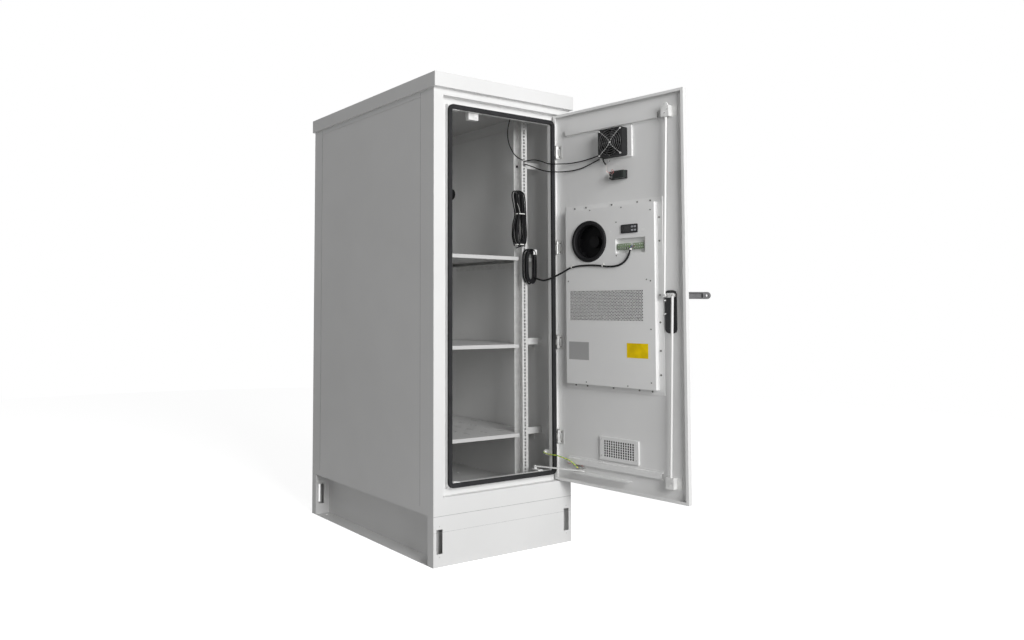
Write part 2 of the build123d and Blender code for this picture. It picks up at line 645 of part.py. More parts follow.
def ac_blower():
    """Backward-curved blower wheel behind the bell mouth."""
    radius, eye, width = 100.0, 70.0, 40.0
    wheel = Pos(0, 0, 0) * Cylinder(radius, SHEET, align=(Align.CENTER, Align.CENTER, Align.MIN))
    shroud = Cylinder(radius, SHEET, align=(Align.CENTER, Align.CENTER, Align.MIN)) - Cylinder(eye, 3 * SHEET)
    wheel += Pos(0, 0, width - SHEET) * shroud
    wheel += Cylinder(24.0, 26.0, align=(Align.CENTER, Align.CENTER, Align.MIN))
    blade = Pos(83.0, 0, width / 2) * Rot(0, 0, 42) * Box(42.0, 2.4, width)
    for index in range(7):
        wheel += Rot(0, 0, index * 360 / 7) * blade
    return Pos(AC_INLET_X, FRONT + AC_FACE - 64.0, AC_INLET_Z) * Rot(-90, 0, 0) * wheel


def ac_blower_motor():
    """Motor and its seat on the chassis, which the blower wheel turns on."""
    back = -AC_OUTSIDE_DEPTH + SHEET
    plate_y = AC_FACE - 64.0 - 34.0
    motor = bar_y(30.0, AC_INLET_X, depths(plate_y, AC_FACE - 64.0 - 1.0), AC_INLET_Z)
    motor += bar_y(5.0, AC_INLET_X, depths(plate_y, AC_FACE - 64.0 - SEAT), AC_INLET_Z)
    return motor + bar_y(36.0, AC_INLET_X, depths(back, plate_y), AC_INLET_Z)


def ac_controller():
    """Display unit with a bezel on the cover and its body behind."""
    cx, cz = DISPLAY_CENTRE
    w, h = DISPLAY_SIZE
    bezel = wall_plate(Pos(cx, cz) * RectangleRounded(w, h, 3.0), depths(AC_FACE, AC_FACE + 4.0))
    body = slab((cx - w / 2 + 4, cx + w / 2 - 4), depths(AC_FACE - 18.0, AC_FACE),
                (cz - h / 2 + 4, cz + h / 2 - 4))
    part = bezel + body
    for x, z in KEY_PLACES:
        part -= slab((x - KEY_SIZE[0] / 2 - SEAT, x + KEY_SIZE[0] / 2 + SEAT), depths(AC_FACE, AC_FACE + 5.0),
                     (z - KEY_SIZE[1] / 2 - SEAT, z + KEY_SIZE[1] / 2 + SEAT))
    return part


def controller_key(place):
    x, z = place
    size = KEY_SIZE
    return slab((x - size[0] / 2, x + size[0] / 2), depths(AC_FACE + KEY_TRAVEL + SEAT, AC_FACE + 5.2),
                (z - size[1] / 2, z + size[1] / 2))


def ac_terminals():
    """Two plug-in terminal blocks on the pocket's floor."""
    floor = AC_FACE - TERMINAL_DEPTH
    z = TERMINAL_BLOCKS_Z
    blocks = []
    for x in TERMINAL_BLOCKS_X:
        block = slab(x, depths(floor, floor + 11.0), z)
        ways = int((x[1] - x[0]) // 10)
        for way in range(ways):
            cx = x[0] + (way + 0.5) * (x[1] - x[0]) / ways
            block -= slab((cx - 3, cx + 3), depths(floor + 4, floor + 12), (z[0] - 1, z[0] + 10))
        blocks.append(block)
    return Compound(blocks)


# Fan


def fan_bracket():
    x, z = FAN_PLATE_X, FAN_PLATE_Z
    part = hollow_tray(x, z, SHEET, FAN_PLATE_RISE)
    return part - bar_y(FAN_BORE, FAN_CENTRE[0], depths(0, 20), FAN_CENTRE[1])


def hollow_tray(x, z, base, rise):
    """Shallow tray turned down onto the door, open at its back."""
    part = slab(x, depths(base, base + rise), z)
    return part - slab((x[0] + SHEET, x[1] - SHEET), depths(base - 1, base + rise - SHEET),
                       (z[0] + SHEET, z[1] - SHEET))


def fan_housing():
    """Square fan body with its round duct, corner ears and three motor struts."""
    cx, cz = FAN_CENTRE
    outline = RectangleRounded(FAN_SIZE, FAN_SIZE, 7.0) - Circle(FAN_BORE)
    body = wall_plate(Pos(cx, cz) * outline, depths(FAN_BASE, FAN_BASE + FAN_DEPTH))
    hub = bar_y(22.0, cx, depths(FAN_BASE, FAN_BASE + 9.0), cz)
    hub += bar_y(2.5, cx, depths(FAN_BASE, FAN_BASE + 20.0), cz)
    for index in range(3):
        strut = slab((cx - 3, cx + 3), depths(FAN_BASE, FAN_BASE + 4.0), (cz, cz + FAN_BORE + 1))
        hub += strut.rotate(Axis((cx, 0, cz), (0, 1, 0)), index * 120)
    return body + hub


def fan_rotor():
    cx, cz = FAN_CENTRE
    rotor = Cylinder(20.0, 25.0, align=(Align.CENTER, Align.CENTER, Align.MIN))
    root, tip = 18.0, FAN_BORE - FAN_TIP_GAP
    blade = Pos((root + tip) / 2, 0, 12.5) * Rot(38, 0, 0) * Box(tip - root, 25.0, 1.8)
    for index in range(7):
        rotor += Rot(0, 0, index * 360 / 7) * blade
    rotor -= Cylinder(2.55, 12.0, align=(Align.CENTER, Align.CENTER, Align.MIN))
    return Pos(cx, FRONT + FAN_BASE + 10.0, cz) * Rot(-90, 0, 0) * rotor


def fan_guard():
    """Finger guard: four rings on two crossed bars with corner eyes."""
    cx, cz = FAN_CENTRE
    top = FAN_BASE + FAN_DEPTH
    part = bar_y(13.0, cx, depths(top + 1.6, top + 3.2), cz)
    reach = FAN_BORE + FAN_EYE_OUT
    for radius in (FAN_BORE - 32.0, FAN_BORE - 20.0, FAN_BORE - 8.0):
        ring = Circle(radius + 0.9) - Circle(radius - 0.9)
        part += wall_plate(Pos(cx, cz) * ring, depths(top + 1.6, top + 3.2))
    for angle in (45, 135):
        wire = Rot(0, 0, angle) * Rectangle(2 * reach + 2.0, 2.0)
        bar = wall_plate(Pos(cx, cz) * wire, depths(top, top + 2.4))
        part += bar
        for side in (-1, 1):
            x = cx + side * reach * math.cos(math.radians(angle))
            z = cz + side * reach * math.sin(math.radians(angle))
            part += wall_plate(Pos(x, z) * (Circle(5.0) - Circle(2.2)), depths(top, top + 2.4))
    return part


def thermostat():
    """Small control block with two wire holes, held by one screw."""
    x, z = THERMOSTAT_CENTRE
    block = slab((x - 38.0, x + 38.0), depths(SHEET, SHEET + 30.0), (z - 17.5, z + 17.5))
    block = fillet(block.edges().filter_by(Axis.Y), 4.0)
    dial = bar_y(9.0, x + 20.0, depths(SHEET + 29.0, SHEET + 34.0), z)
    return block + dial


def vent_grille():
    """Square-holed plate over the filtered lower vent."""
    cx, cz = VENT_CENTRE
    sheet = Rectangle(*VENT_PLATE)
    holes = GridLocations(*VENT_PITCH, *VENT_HOLES) * Rectangle(VENT_HOLE, VENT_HOLE)
    plate = wall_plate(Pos(cx, cz) * (sheet - holes), depths(SHEET + 6.0, SHEET + 7.5))
    frame = Rectangle(*VENT_PLATE) - Rectangle(VENT_PLATE[0] - 12.0, VENT_PLATE[1] - 12.0)
    return plate + wall_plate(Pos(cx, cz) * frame, depths(SHEET, SHEET + 7.0))


# Latch


def handle_dish():
    """Swing-handle escutcheon outside and its box through the door."""
    cz = (DISH_Z[0] + DISH_Z[1]) / 2
    height = DISH_Z[1] - DISH_Z[0]
    plate = wall_plate(Pos(LATCH_X, cz) * RectangleRounded(56.0, height + 20.0, 20.0), depths(-3.0, 0))
    box = Pos(LATCH_X, cz) * RectangleRounded(43.0, height - 10.0, 14.0)
    box = wall_plate(box, depths(-1.0, CAM_PLANE - 2.0))
    inner = Pos(LATCH_X, cz) * RectangleRounded(36.0, height - 20.0, 12.0)
    inner = wall_plate(inner, depths(-4.0, CAM_PLANE - 4.0))
    boss = bar_y(14.0, LATCH_X, depths(-1.0, CAM_PLANE - 1.0), LATCH_Z)
    rim = RectangleRounded(50.0, height, 18.0) - RectangleRounded(40.0, height - 13.0, 12.5)
    back_rim = wall_plate(Pos(LATCH_X, cz) * rim, depths(SHEET, CAM_PLANE - 4.0))
    part = plate + box - inner + boss + back_rim
    return part - bar_y(SPINDLE_RADIUS + RUNNING, LATCH_X, depths(-5.0, CAM_PLANE + 1), LATCH_Z)


def latch_spindle():
    """Spindle with its lever block outside, cam plate inside and two rod pins."""
    part = bar_y(SPINDLE_RADIUS, LATCH_X, depths(-6.0, CAM_PLANE + CAM_THICK), LATCH_Z)
    part += bar_y(12.0, LATCH_X, depths(-5.2, -3.4), LATCH_Z)
    block = slab((LATCH_X - 6, LATCH_X + 6), depths(-LEVER_PIVOT_OUT, -4.0), (LATCH_Z - 5.5, LATCH_Z + 5.5))
    block += bar_z(6.0, LATCH_X, FRONT - LEVER_PIVOT_OUT, (LATCH_Z - 5.5, LATCH_Z + 5.5))
    part += block - bar_z(PIN_RADIUS + RUNNING, LATCH_X, FRONT - LEVER_PIVOT_OUT, (LATCH_Z - 9, LATCH_Z + 9))
    cam = SlotOverall(2 * CAM_THROW + 18, 18.0)
    part += wall_plate(Pos(LATCH_X, LATCH_Z) * cam, depths(CAM_PLANE, CAM_PLANE + CAM_THICK))
    for side in (-1, 1):
        pin_y = depths(CAM_PLANE, ROD_PLANE + ROD_EYE_THICK / 2 + 2.0)
        part += bar_y(PIN_RADIUS, LATCH_X + side * CAM_THROW, pin_y, LATCH_Z)
    return part


def latch_lever():
    """Fork, grip and padlock eye; drawn flat along -X, then lifted."""
    y = depths(-LEVER_PIVOT_OUT - LEVER_THICK / 2, -LEVER_PIVOT_OUT + LEVER_THICK / 2)
    tip = LATCH_X - LEVER_LENGTH + LEVER_WIDTH / 2
    outline = Pos((LATCH_X + tip) / 2, LATCH_Z) * Rectangle(LATCH_X - tip, LEVER_WIDTH)
    outline += Pos(tip, LATCH_Z) * Circle(LEVER_WIDTH / 2)
    half = LEVER_WIDTH / 2
    lever = wall_plate(outline, y)
    lever += bar_z(LEVER_THICK / 2, LATCH_X, FRONT - LEVER_PIVOT_OUT, (LATCH_Z - half, LATCH_Z + half))
    lever -= slab((LATCH_X - 9.5, LATCH_X + 12), (y[0] - 1, y[1] + 1), (LATCH_Z - 6.0, LATCH_Z + 6.0))
    lever -= bar_y(5.5, tip, (y[0] - 1, y[1] + 1), LATCH_Z)
    lever -= slab((tip + 18, LATCH_X - 30), (y[1] - 7.0, y[1] + 1), (LATCH_Z - 9.0, LATCH_Z + 9.0))
    lever += bar_z(PIN_RADIUS, LATCH_X, FRONT - LEVER_PIVOT_OUT, (LATCH_Z - half, LATCH_Z + half))
    return lever.rotate(Axis((LATCH_X, FRONT - LEVER_PIVOT_OUT, 0), (0, 0, 1)), LEVER_LIFT)


def latch_rod(side):
    """Round rod from the cam's pin through its guide; side is +1 for the upper rod."""
    pin_x = LATCH_X + side * CAM_THROW
    guide_z = GUIDE_HEIGHTS[1] if side > 0 else GUIDE_HEIGHTS[0]
    tip_z = MOUTH_Z[1] - ROD_REST_GAP if side > 0 else MOUTH_Z[0] + ROD_REST_GAP
    lean = math.degrees(math.atan((pin_x - LATCH_X) / (guide_z - LATCH_Z)))
    length = abs(tip_z - LATCH_Z)
    eye_y = depths(ROD_PLANE - ROD_EYE_THICK / 2, ROD_PLANE + ROD_EYE_THICK / 2)
    eye = bar_y(ROD_EYE_RADIUS, pin_x, eye_y, LATCH_Z)
    z = (LATCH_Z + 4, LATCH_Z + length) if side > 0 else (LATCH_Z - length, LATCH_Z - 4)
    rod = bar_z(ROD_DIAMETER / 2, pin_x, FRONT + ROD_PLANE, z)
    rod = rod.rotate(Axis((pin_x, 0, LATCH_Z), (0, 1, 0)), -lean)
    hole = bar_y(PIN_RADIUS + RUNNING, pin_x, depths(ROD_PLANE - 9, ROD_PLANE + 9), LATCH_Z)
    return rod + eye - hole


def rod_guide(z):
    """Base plate with the raised block that the rod slides through."""
    base = slab((LATCH_X - 38, LATCH_X + 28), depths(SHEET, 2 * SHEET), (z - 20, z + 20))
    block = slab((LATCH_X - 17, LATCH_X + 17), depths(SHEET, ROD_PLANE + 9), (z - 22, z + 22))
    slot = slab((LATCH_X - GUIDE_SLOT / 2, LATCH_X + GUIDE_SLOT / 2),
                depths(ROD_PLANE - ROD_DIAMETER / 2 - 0.5, ROD_PLANE + ROD_DIAMETER / 2 + 0.5),
                (z - 23, z + 23))
    return base + block - slot


# Door stay


def stay_bracket():
    """Angle bracket behind the bottom rim with the stay's pin."""
    x, depth = STAY_PIVOT
    y = FRONT + depth
    foot = y - STAY_FOOT
    plate = slab((x - 14, x + 14), (foot, y + 12), (MOUTH_Z[0], MOUTH_Z[0] + 3.0))
    plate += slab((x - 14, x + 14), (foot, foot + 2.5), (MOUTH_Z[0] - 26.0, MOUTH_Z[0] + 1.0))
    post = bar_z(8.0, x, y, (MOUTH_Z[0] + 2, STAY_Z - STAY_THICK / 2 - SEAT))
    return plate + post + bar_z(PIN_RADIUS, x, y, (STAY_Z - 6, STAY_Z + STAY_THICK / 2 + 2))


def stay_tip():
    """Where the stay's far end lies in the door's tray while the door is open."""
    target = STAY_TRAY_OUT
    sx, sy = STAY_PIVOT[0], FRONT + STAY_PIVOT[1]
    low, high = -DOOR_HALF, HINGE_X
    for _ in range(60):
        middle = (low + high) / 2
        x, y, _z = door_point(middle, target, 0)
        if math.hypot(x - sx, y - sy) > STAY_LENGTH:
            low = middle
        else:
            high = middle
    return door_point((low + high) / 2, target, 0)


def stay_arm():
    """Flat bar from the bracket's pin to the tray on the door."""
    sx, sy = STAY_PIVOT[0], FRONT + STAY_PIVOT[1]
    tx, ty, _ = stay_tip()
    angle = math.degrees(math.atan2(ty - sy, tx - sx))
    outline = Pos(STAY_LENGTH / 2, 0) * SlotOverall(STAY_LENGTH + STAY_WIDTH, STAY_WIDTH)
    outline -= Circle(PIN_RADIUS + RUNNING)
    bar = extrude(Plane.XY.offset(STAY_Z - STAY_THICK / 2) * outline, amount=STAY_THICK)
    return Pos(sx, sy, 0) * Rot(0, 0, angle) * bar


def stay_tray():
    """Slotted channel on the door under the stay's end."""
    x = STAY_TRAY_X
    z = (STAY_TRAY_Z - STAY_TRAY_HEIGHT, STAY_TRAY_Z)
    part = slab(x, depths(SHEET, SHEET + 28.0), z)
    part -= slab((x[0] - 1, x[1] + 1), depths(2 * SHEET, SHEET + 29.0), (z[0] - 1, z[1] - SHEET))
    slot = slab((x[0] + 14, x[1] - 14), depths(STAY_TRAY_OUT - 4, STAY_TRAY_OUT + 4), (z[1] - 3, z[1] + 1))
    return part + slab(x, depths(SHEET + 26.0, SHEET + 28.0), z) - slot


# Cables


def cord(points, diameter):
    """Straight runs joined by arcs as large as the runs allow; returns the tube and its figures."""
    corners = [Vector(*point) for point in points]
    runs = [after - before for before, after in zip(corners, corners[1:])]
    radii = []
    for before, after in zip(runs, runs[1:]):
        turn = math.radians(before.get_angle(after))
        radii.append(0.45 * min(before.length, after.length) / math.tan(turn / 2))
    path = FilletPolyline(*corners, radius=radii)
    start = Plane(origin=path @ 0, z_dir=path % 0)
    tube = sweep(start * Circle(diameter / 2), path=path)
    section = math.pi * diameter ** 2 / 4
    print("cord length %.0f, smallest radius %.0f (%.1f diameters), volume ratio %.3f"
          % (path.length, min(radii), min(radii) / diameter, tube.volume / (section * path.length)))
    return tube


def hank(x, y, z, width, depth):
    """Closed outer shape of a coiled and tied cable."""
    body = slab((x - width / 2, x + width / 2), (y - depth / 2, y + depth / 2), z)
    return fillet(body.edges().filter_by(Axis.Y), width / 2 - 1.0)


CORD_ROUTES = {
    "fan_cable_upper": (5.0, [
        (226, RACK_Y - 2.8, 1702), (255, -410, 1713), (268, -456, 1701), (271, -496, 1683),
        (273, -526, 1676), (289, -551, 1674), door_point(240, 14, 1673), door_point(184, 14, 1673),
        door_point(122, 14, 1678), door_point(FAN_CENTRE[0] + FAN_SIZE / 2 + 0.8, 14, 1690)]),
    "fan_cable_lower": (5.0, [
        (226, RACK_Y - 2.8, 1693), (254, -412, 1682), (267, -448, 1662), (271, -495, 1647),
        (273, -526, 1641), (289, -551, 1638), door_point(240, 9, 1639), door_point(184, 8, 1642),
        door_point(134, 8, 1654), door_point(FAN_PLATE_X[1] + 1.2, 8, 1672)]),
    "lamp_cable": (5.0, [
        (163, -397, CEILING - 1.2), (130, -397, 1865), (122, -397, 1800), (150, -397, 1740),
        (190, -394, 1713), (224, RACK_Y - 2.8, 1710)]),
    "ac_cable": (8.0, [
        door_point(-84.5, 33.5, 1278), door_point(-75.5, 33.5, 1239), door_point(-34, 33.5, 1208),
        door_point(25.5, 33.5, 1205), door_point(89.5, 33.5, 1215), door_point(164, 33.5, 1216),
        door_point(223, 33.5, 1209), door_point(255, 34.5, 1192), (278, -541, 1174),
        (268, -512, 1161), (267, -462, 1153), (262, RACK_Y - 34.6, 1170)]),
    "earth_wire": (5.0, [
        (263.8, -470, 392), (268, -500, 385), (276, -530, 388), (293, -565, 380),
        door_point(227, 24, 367), door_point(211, 8, 340)]),
}


def earth_stud():
    """Earth bolt on an angle tab behind the right-hand rim."""
    near = RECESS_DEPTH + SHEET
    tab = slab((MOUTH_HALF, MOUTH_HALF + SHEET), depths(near, near + 30.0), (380.0, 404.0))
    foot = slab((MOUTH_HALF, MOUTH_HALF + 22.0), depths(near, near + SHEET), (380.0, 404.0))
    bolt = slab((MOUTH_HALF - 10.0, MOUTH_HALF + 1.0), depths(51.0, 59.0), (385.0, 399.0))
    return tab + foot + bolt


def build_parts():
    parts = {}
    parts["plinth_front"] = plinth_beam()
    parts["plinth_rear"] = mirror(parts["plinth_front"], Plane.XZ)
    parts["plinth_side_left"] = plinth_side()
    parts["plinth_side_right"] = mirrored(plinth_side())
    parts["front_frame"] = front_frame() + earth_stud()
    parts["rear_frame"] = rear_frame()
    parts["rear_panel"] = rear_panel()
    parts["side_frames"] = Compound([side_frame(), mirrored(side_frame())])
    parts["side_panel_left"] = side_panel()
    parts["side_panel_right"] = mirrored(side_panel())
    parts["floor_pan"] = floor_pan()
    parts["ceiling_panel"] = ceiling_panel()
    parts["roof_cap"] = roof_cap()
    parts["door_gasket"] = door_gasket()
    parts["rod_keepers"] = Compound([rod_keeper(MOUTH_Z[1], 1), rod_keeper(MOUTH_Z[0], -1)])
    front_rail = Pos(0, RACK_Y, 0) * rack_rail(rack_hole_heights())
    parts["rack_rail_right"] = front_rail
    parts["rack_rail_left"] = mirrored(front_rail)
    rear_rail = Pos(0, RACK_Y + RACK_SPAN, 0) * mirror(rack_rail(rear_hole_heights()), Plane.XZ)
    parts["rack_rails_rear"] = Compound([rear_rail, mirrored(rear_rail)])
    parts["rack_brackets"] = Compound(rail_brackets() + shelf_supports())
    for name, top in zip(("shelf_lower", "shelf_middle", "shelf_upper"), SHELF_TOPS):
        parts[name] = shelf(top)
    parts["cabinet_lamp"] = cabinet_lamp()
    parts["hinge_frame_halves"] = Compound([frame_hinge(z) for z in HINGE_HEIGHTS])
    parts["stay_bracket"] = stay_bracket()
    parts["stay_arm"] = stay_arm()
    parts["cable_hank_upper"] = hank(192.0, RACK_Y - 17.3, (1310.0, 1566.0), 62.0, 34.0)
    parts["cable_hank_lower"] = hank(246.0, RACK_Y - 16.3, (1133.0, 1300.0), 52.0, 32.0)
    for name, (diameter, points) in CORD_ROUTES.items():
        parts[name] = cord(points, diameter)
    on_door = {
        "door_panel": door_panel(),
        "door_stiffeners": Compound([door_stiffener(z) for z in STIFFENER_HEIGHTS]),
        "hinge_door_halves": Compound([door_hinge(z) for z in HINGE_HEIGHTS]),
        "stay_tray": stay_tray(),
        "ac_chassis": ac_chassis() + ac_blower_motor(),
        "ac_cover": ac_cover(),
        "ac_inlet_ring": ac_inlet_ring(),
        "ac_outlet_grille": ac_outlet_grille(),
        "ac_blower": ac_blower(),
        "ac_controller": ac_controller(),
        "ac_terminals": ac_terminals(),
        "fan_bracket": fan_bracket(),
        "fan_housing": fan_housing(),
        "fan_rotor": fan_rotor(),
        "fan_guard": fan_guard(),
        "thermostat": thermostat(),
        "vent_grille": vent_grille(),
        "handle_dish": handle_dish(),
        "latch_spindle": latch_spindle(),
        "latch_lever": latch_lever(),
        "latch_rod_upper": latch_rod(1),
        "latch_rod_lower": latch_rod(-1),
        "rod_guides": Compound([rod_guide(z) for z in GUIDE_HEIGHTS]),
    }
    for number, place in enumerate(KEY_PLACES, 1):
        on_door["controller_key_%d" % number] = controller_key(place)
    for name, shape in on_door.items():
        parts[name] = swing(shape)
    return parts


os.makedirs("parts", exist_ok=True)
for part_name, shape in build_parts().items():
    export_step(shape, os.path.join("parts", part_name + ".step"))
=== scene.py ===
"""Outdoor telecom cabinet: finishes, cables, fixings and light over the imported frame."""
import math

import bmesh
import bpy
from mathutils import Matrix, Vector


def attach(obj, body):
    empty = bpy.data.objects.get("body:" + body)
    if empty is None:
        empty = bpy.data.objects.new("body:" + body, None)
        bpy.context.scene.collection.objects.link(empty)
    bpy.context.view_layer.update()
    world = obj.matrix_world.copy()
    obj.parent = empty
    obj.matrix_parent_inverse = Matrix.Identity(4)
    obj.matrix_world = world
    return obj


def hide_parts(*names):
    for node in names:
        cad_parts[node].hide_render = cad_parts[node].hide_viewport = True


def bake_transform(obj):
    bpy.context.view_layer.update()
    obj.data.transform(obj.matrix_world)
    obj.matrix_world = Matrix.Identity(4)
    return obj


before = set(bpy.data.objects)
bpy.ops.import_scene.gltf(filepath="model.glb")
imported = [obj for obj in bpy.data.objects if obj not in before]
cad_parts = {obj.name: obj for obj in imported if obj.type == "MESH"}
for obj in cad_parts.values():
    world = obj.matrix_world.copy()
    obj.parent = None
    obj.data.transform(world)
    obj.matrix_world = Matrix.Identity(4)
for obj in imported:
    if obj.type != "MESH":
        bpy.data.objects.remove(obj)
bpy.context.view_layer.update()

MM = 0.001
FRONT = -0.525
HINGE = Vector((0.3125, -0.515, 0.0))
OPEN = math.radians(97.0)
RAIL_Y = -0.386
CEILING_Z = 1.955
COVER_FACE = 29.0
FLANGE_FACE = 5.0
POCKET_BLOCK_FACE = 26.0
VENT_FACE = 9.5
LATCH_X = -247.5
ROD_DEPTH = 23.0
GUIDE_FACE = 32.0
HINGE_HEIGHTS = (463.5, 880.5, 1302.5, 1733.0)
FAN_X, FAN_Z, FAN_SIZE, FAN_EYE = -0.5, 1727.0, 119.0, 52.3
INWARD = (0.0, 1.0, 0.0)
FRONTWARD = (0.0, -1.0, 0.0)
UPWARD = (0.0, 0.0, 1.0)
ACROSS = (1.0, 0.0, 0.0)
DOOR_TURN = Matrix.Translation(HINGE) @ Matrix.Rotation(OPEN, 4, "Z") @ Matrix.Translation(-HINGE)


def shut(x, depth, z):
    """A place on the shut door, in millimetres: across, behind its outer face, up."""
    return Vector((x * MM, FRONT + depth * MM, z * MM))


def on_door(x, depth, z):
    """The same place once the door stands open."""
    return DOOR_TURN @ shut(x, depth, z)


def inside(x, y, z):
    """A place in the cabinet, in millimetres."""
    return Vector((x * MM, y * MM, z * MM))


# Camera, at the photograph's place and angle


def place_camera():
    lens = bpy.data.cameras.new("photo_camera")
    lens.sensor_width = 36.0
    lens.lens = 28.869
    lens.shift_x = 0.1220
    lens.shift_y = -0.0522
    lens.clip_end = 100.0
    camera = bpy.data.objects.new("photo_camera", lens)
    bpy.context.collection.objects.link(camera)
    yaw, pitch, roll = 0.56213, 0.052897, 0.004032
    forward = Vector((math.sin(yaw) * math.cos(pitch), math.cos(yaw) * math.cos(pitch), math.sin(pitch)))
    level = Vector((math.cos(yaw), -math.sin(yaw), 0.0))
    above = level.cross(forward)
    right = math.cos(roll) * level + math.sin(roll) * above
    up = -math.sin(roll) * level + math.cos(roll) * above
    turn = Matrix((right, up, -forward)).transposed().to_4x4()
    camera.matrix_world = Matrix.Translation((-2.29377, -3.2193, 1.020415)) @ turn
    bpy.context.scene.camera = camera


place_camera()

# Finishes


def plain_finish(name, colour, roughness, metallic=0.0, **sockets):
    """A Principled material with its even values set on the shader's own sockets."""
    finish = bpy.data.materials.new(name)
    finish.use_nodes = True
    shader = finish.node_tree.nodes["Principled BSDF"]
    shader.inputs["Base Color"].default_value = (*colour, 1.0)
    shader.inputs["Roughness"].default_value = roughness
    shader.inputs["Metallic"].default_value = metallic
    for socket, value in sockets.items():
        shader.inputs[socket.replace("_", " ")].default_value = value
    return finish


def grain(finish, scale, detail=2.0, stretch=(1.0, 1.0, 1.0)):
    """Noise laid through the piece on its object coordinates."""
    tree = finish.node_tree
    place = tree.nodes.new("ShaderNodeTexCoord")
    fit = tree.nodes.new("ShaderNodeMapping")
    fit.inputs["Scale"].default_value = stretch
    noise = tree.nodes.new("ShaderNodeTexNoise")
    noise.inputs["Scale"].default_value = scale
    noise.inputs["Detail"].default_value = detail
    tree.links.new(place.outputs["Object"], fit.inputs["Vector"])
    tree.links.new(fit.outputs["Vector"], noise.inputs["Vector"])
    return noise.outputs["Fac"]


def tint(finish, pattern, dark, light):
    """Colour that drifts between two tones with a pattern."""
    tree = finish.node_tree
    ramp = tree.nodes.new("ShaderNodeValToRGB")
    ramp.color_ramp.elements[0].position = 0.3
    ramp.color_ramp.elements[0].color = (*dark, 1.0)
    ramp.color_ramp.elements[1].position = 0.7
    ramp.color_ramp.elements[1].color = (*light, 1.0)
    tree.links.new(pattern, ramp.inputs["Fac"])
    tree.links.new(ramp.outputs["Color"], tree.nodes["Principled BSDF"].inputs["Base Color"])
    return ramp


def vary_gloss(finish, pattern, low, high):
    tree = finish.node_tree
    span = tree.nodes.new("ShaderNodeMapRange")
    span.inputs["From Min"].default_value = 0.3
    span.inputs["From Max"].default_value = 0.7
    span.inputs["To Min"].default_value = low
    span.inputs["To Max"].default_value = high
    tree.links.new(pattern, span.inputs["Value"])
    tree.links.new(span.outputs["Result"], tree.nodes["Principled BSDF"].inputs["Roughness"])


def emboss(finish, pattern, strength, distance):
    tree = finish.node_tree
    bump = tree.nodes.new("ShaderNodeBump")
    bump.inputs["Strength"].default_value = strength
    bump.inputs["Distance"].default_value = distance
    tree.links.new(pattern, bump.inputs["Height"])
    tree.links.new(bump.outputs["Normal"], tree.nodes["Principled BSDF"].inputs["Normal"])


def powder_coat(name, colour, texture=0.25, grain_size=0.0012, drift=0.018, roughness=(0.42, 0.52)):
    """Baked powder coat: fine orange peel, and a slow drift of tone over large sheets."""
    finish = plain_finish(name, colour, roughness[0])
    dark = tuple(value * (1 - drift) for value in colour)
    light = tuple(min(1.0, value * (1 + drift)) for value in colour)
    tint(finish, grain(finish, 3.5, 4.0), dark, light)
    vary_gloss(finish, grain(finish, 11.0, 3.0), *roughness)
    emboss(finish, grain(finish, 1.0 / grain_size, 2.0), texture, 0.0002)
    return finish


def zinc_plate(name, colour, roughness=(0.28, 0.42), brushed=(1.0, 1.0, 6.0), metallic=0.85):
    """Plated or galvanised steel with a faint drawn grain and cloudy gloss."""
    finish = plain_finish(name, colour, roughness[0], metallic)
    dark = tuple(value * 0.9 for value in colour)
    light = tuple(min(1.0, value * 1.06) for value in colour)
    tint(finish, grain(finish, 45.0, 4.0), dark, light)
    vary_gloss(finish, grain(finish, 90.0, 3.0), *roughness)
    emboss(finish, grain(finish, 420.0, 2.0, brushed), 0.12, 0.0002)
    return finish


def moulded_plastic(name, colour, roughness=(0.45, 0.6), texture=0.3, grain_size=0.0009, specular=0.5):
    """Injection-moulded plastic with a fine spark-eroded grain."""
    finish = plain_finish(name, colour, roughness[0], Specular_IOR_Level=specular)
    dark = tuple(value * 0.85 for value in colour)
    light = tuple(min(1.0, value * 1.15 + 0.001) for value in colour)
    tint(finish, grain(finish, 30.0, 3.0), dark, light)
    vary_gloss(finish, grain(finish, 60.0, 2.0), *roughness)
    emboss(finish, grain(finish, 1.0 / grain_size, 2.0), texture, 0.00015)
    return finish


def sheath(name, colour, roughness=(0.4, 0.55), specular=0.5):
    """Extruded cable sheath: satin, with a faint pull along its length."""
    finish = plain_finish(name, colour, roughness[0], Specular_IOR_Level=specular)
    dark = tuple(value * 0.7 for value in colour)
    light = tuple(min(1.0, value * 1.3 + 0.002) for value in colour)
    tint(finish, grain(finish, 70.0, 3.0), dark, light)
    vary_gloss(finish, grain(finish, 120.0, 2.0), *roughness)
    emboss(finish, grain(finish, 900.0, 1.0), 0.15, 0.0001)
    return finish


def earth_stripes():
    """Green sheath with the yellow stripe that an earth wire has."""
    finish = sheath("earth_sheath", (0.1, 0.42, 0.08))
    tree = finish.node_tree
    place = tree.nodes.new("ShaderNodeTexCoord")
    wave = tree.nodes.new("ShaderNodeTexWave")
    wave.bands_direction = "DIAGONAL"
    wave.inputs["Scale"].default_value = 55.0
    wave.inputs["Distortion"].default_value = 0.4
    ramp = tree.nodes.new("ShaderNodeValToRGB")
    ramp.color_ramp.elements[0].position = 0.48
    ramp.color_ramp.elements[0].color = (0.08, 0.36, 0.07, 1.0)
    ramp.color_ramp.elements[1].position = 0.56
    ramp.color_ramp.elements[1].color = (0.72, 0.62, 0.05, 1.0)
    tree.links.new(place.outputs["Object"], wave.inputs["Vector"])
    tree.links.new(wave.outputs["Fac"], ramp.inputs["Fac"])
    tree.links.new(ramp.outputs["Color"], tree.nodes["Principled BSDF"].inputs["Base Color"])
    return finish


